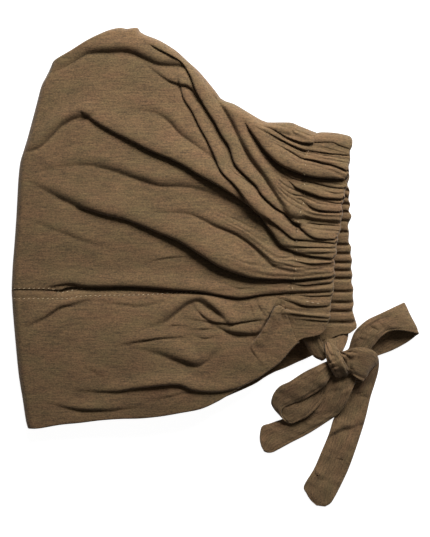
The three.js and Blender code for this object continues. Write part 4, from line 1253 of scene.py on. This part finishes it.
class BuildStage(bpy.types.Operator):
    """Lays the pale floor and sets the soft lights and the camera straight above"""

    bl_idname = "underscarf.stage"
    bl_label = "Stage"

    def execute(self, context):
        settings = context.scene.stage_settings
        scene = context.scene
        bm = bmesh.new()
        bmesh.ops.create_grid(bm, x_segments=8, y_segments=8, size=FLOOR_HALF)
        surface, _, shader = new_material("pale_floor")
        set_inputs(shader, {
            "Base Color": (*settings.floor, 1), "Roughness": FLOOR_ROUGHNESS,
            "Emission Color": (1, 1, 1, 1), "Emission Strength": settings.floor_glow,
        })
        floor = new_object("floor", bm, surface)

        lamp = bpy.data.lights.new("key", "AREA")
        lamp.shape, (lamp.size, lamp.size_y), lamp.energy = "RECTANGLE", KEY_SIZE, settings.key
        key = bpy.data.objects.new("key", lamp)
        key.location = KEY_PLACE
        key.rotation_euler = (-key.location).to_track_quat("-Z", "Y").to_euler()
        scene.collection.objects.link(key)

        world = bpy.data.worlds.new("studio")
        world.use_nodes = True
        set_inputs(world.node_tree.nodes["Background"],
                   {"Color": (1, 1, 1, 1), "Strength": settings.fill})
        scene.world = world
        scene.view_settings.view_transform = "Standard"

        lens = bpy.data.cameras.new("camera")
        distance = settings.camera_height - SCALE_HEIGHT
        lens.lens = lens.sensor_width * distance / settings.view_height
        camera = bpy.data.objects.new("camera", lens)
        centre = plan([PICTURE_CENTRE])[0] * MM
        camera.location = (centre[0], centre[1], settings.camera_height)
        scene.collection.objects.link(camera)
        scene.camera = camera
        return {"FINISHED"}


class UnderscarfPanel(bpy.types.Panel):
    """Lists the cap's pieces, their sizes and their colours"""

    bl_idname = "VIEW3D_PT_underscarf"
    bl_label = "Underscarf cap"
    bl_space_type = "VIEW_3D"
    bl_region_type = "UI"
    bl_category = "Underscarf cap"

    def draw(self, context):
        for name, builders in PANEL_ROWS:
            group = getattr(context.scene, name)
            box = self.layout.box()
            for prop in group.__annotations__:
                box.prop(group, prop)
            for builder in builders:
                box.operator(builder.bl_idname)


SETTINGS = {
    "cap_settings": CapSettings,
    "tie_settings": TieSettings,
    "stitch_settings": StitchSettings,
    "stage_settings": StageSettings,
}
BUILDERS = (BuildCrown, BuildBand, BuildCasing, BuildTie, BuildStitches, BuildStage)
PANEL_ROWS = (
    ("cap_settings", (BuildCrown, BuildBand, BuildCasing)),
    ("tie_settings", (BuildTie,)),
    ("stitch_settings", (BuildStitches,)),
    ("stage_settings", (BuildStage,)),
)


def register():
    for cls in (*SETTINGS.values(), *BUILDERS, UnderscarfPanel):
        bpy.utils.register_class(cls)
    for name, cls in SETTINGS.items():
        setattr(bpy.types.Scene, name, bpy.props.PointerProperty(type=cls))


def unregister():
    for name in SETTINGS:
        delattr(bpy.types.Scene, name)
    for cls in reversed((*SETTINGS.values(), *BUILDERS, UnderscarfPanel)):
        bpy.utils.unregister_class(cls)


def main():
    register()
    for builder in BUILDERS:
        family, name = builder.bl_idname.split(".")
        getattr(getattr(bpy.ops, family), name)()


if __name__ == "__main__":
    main()
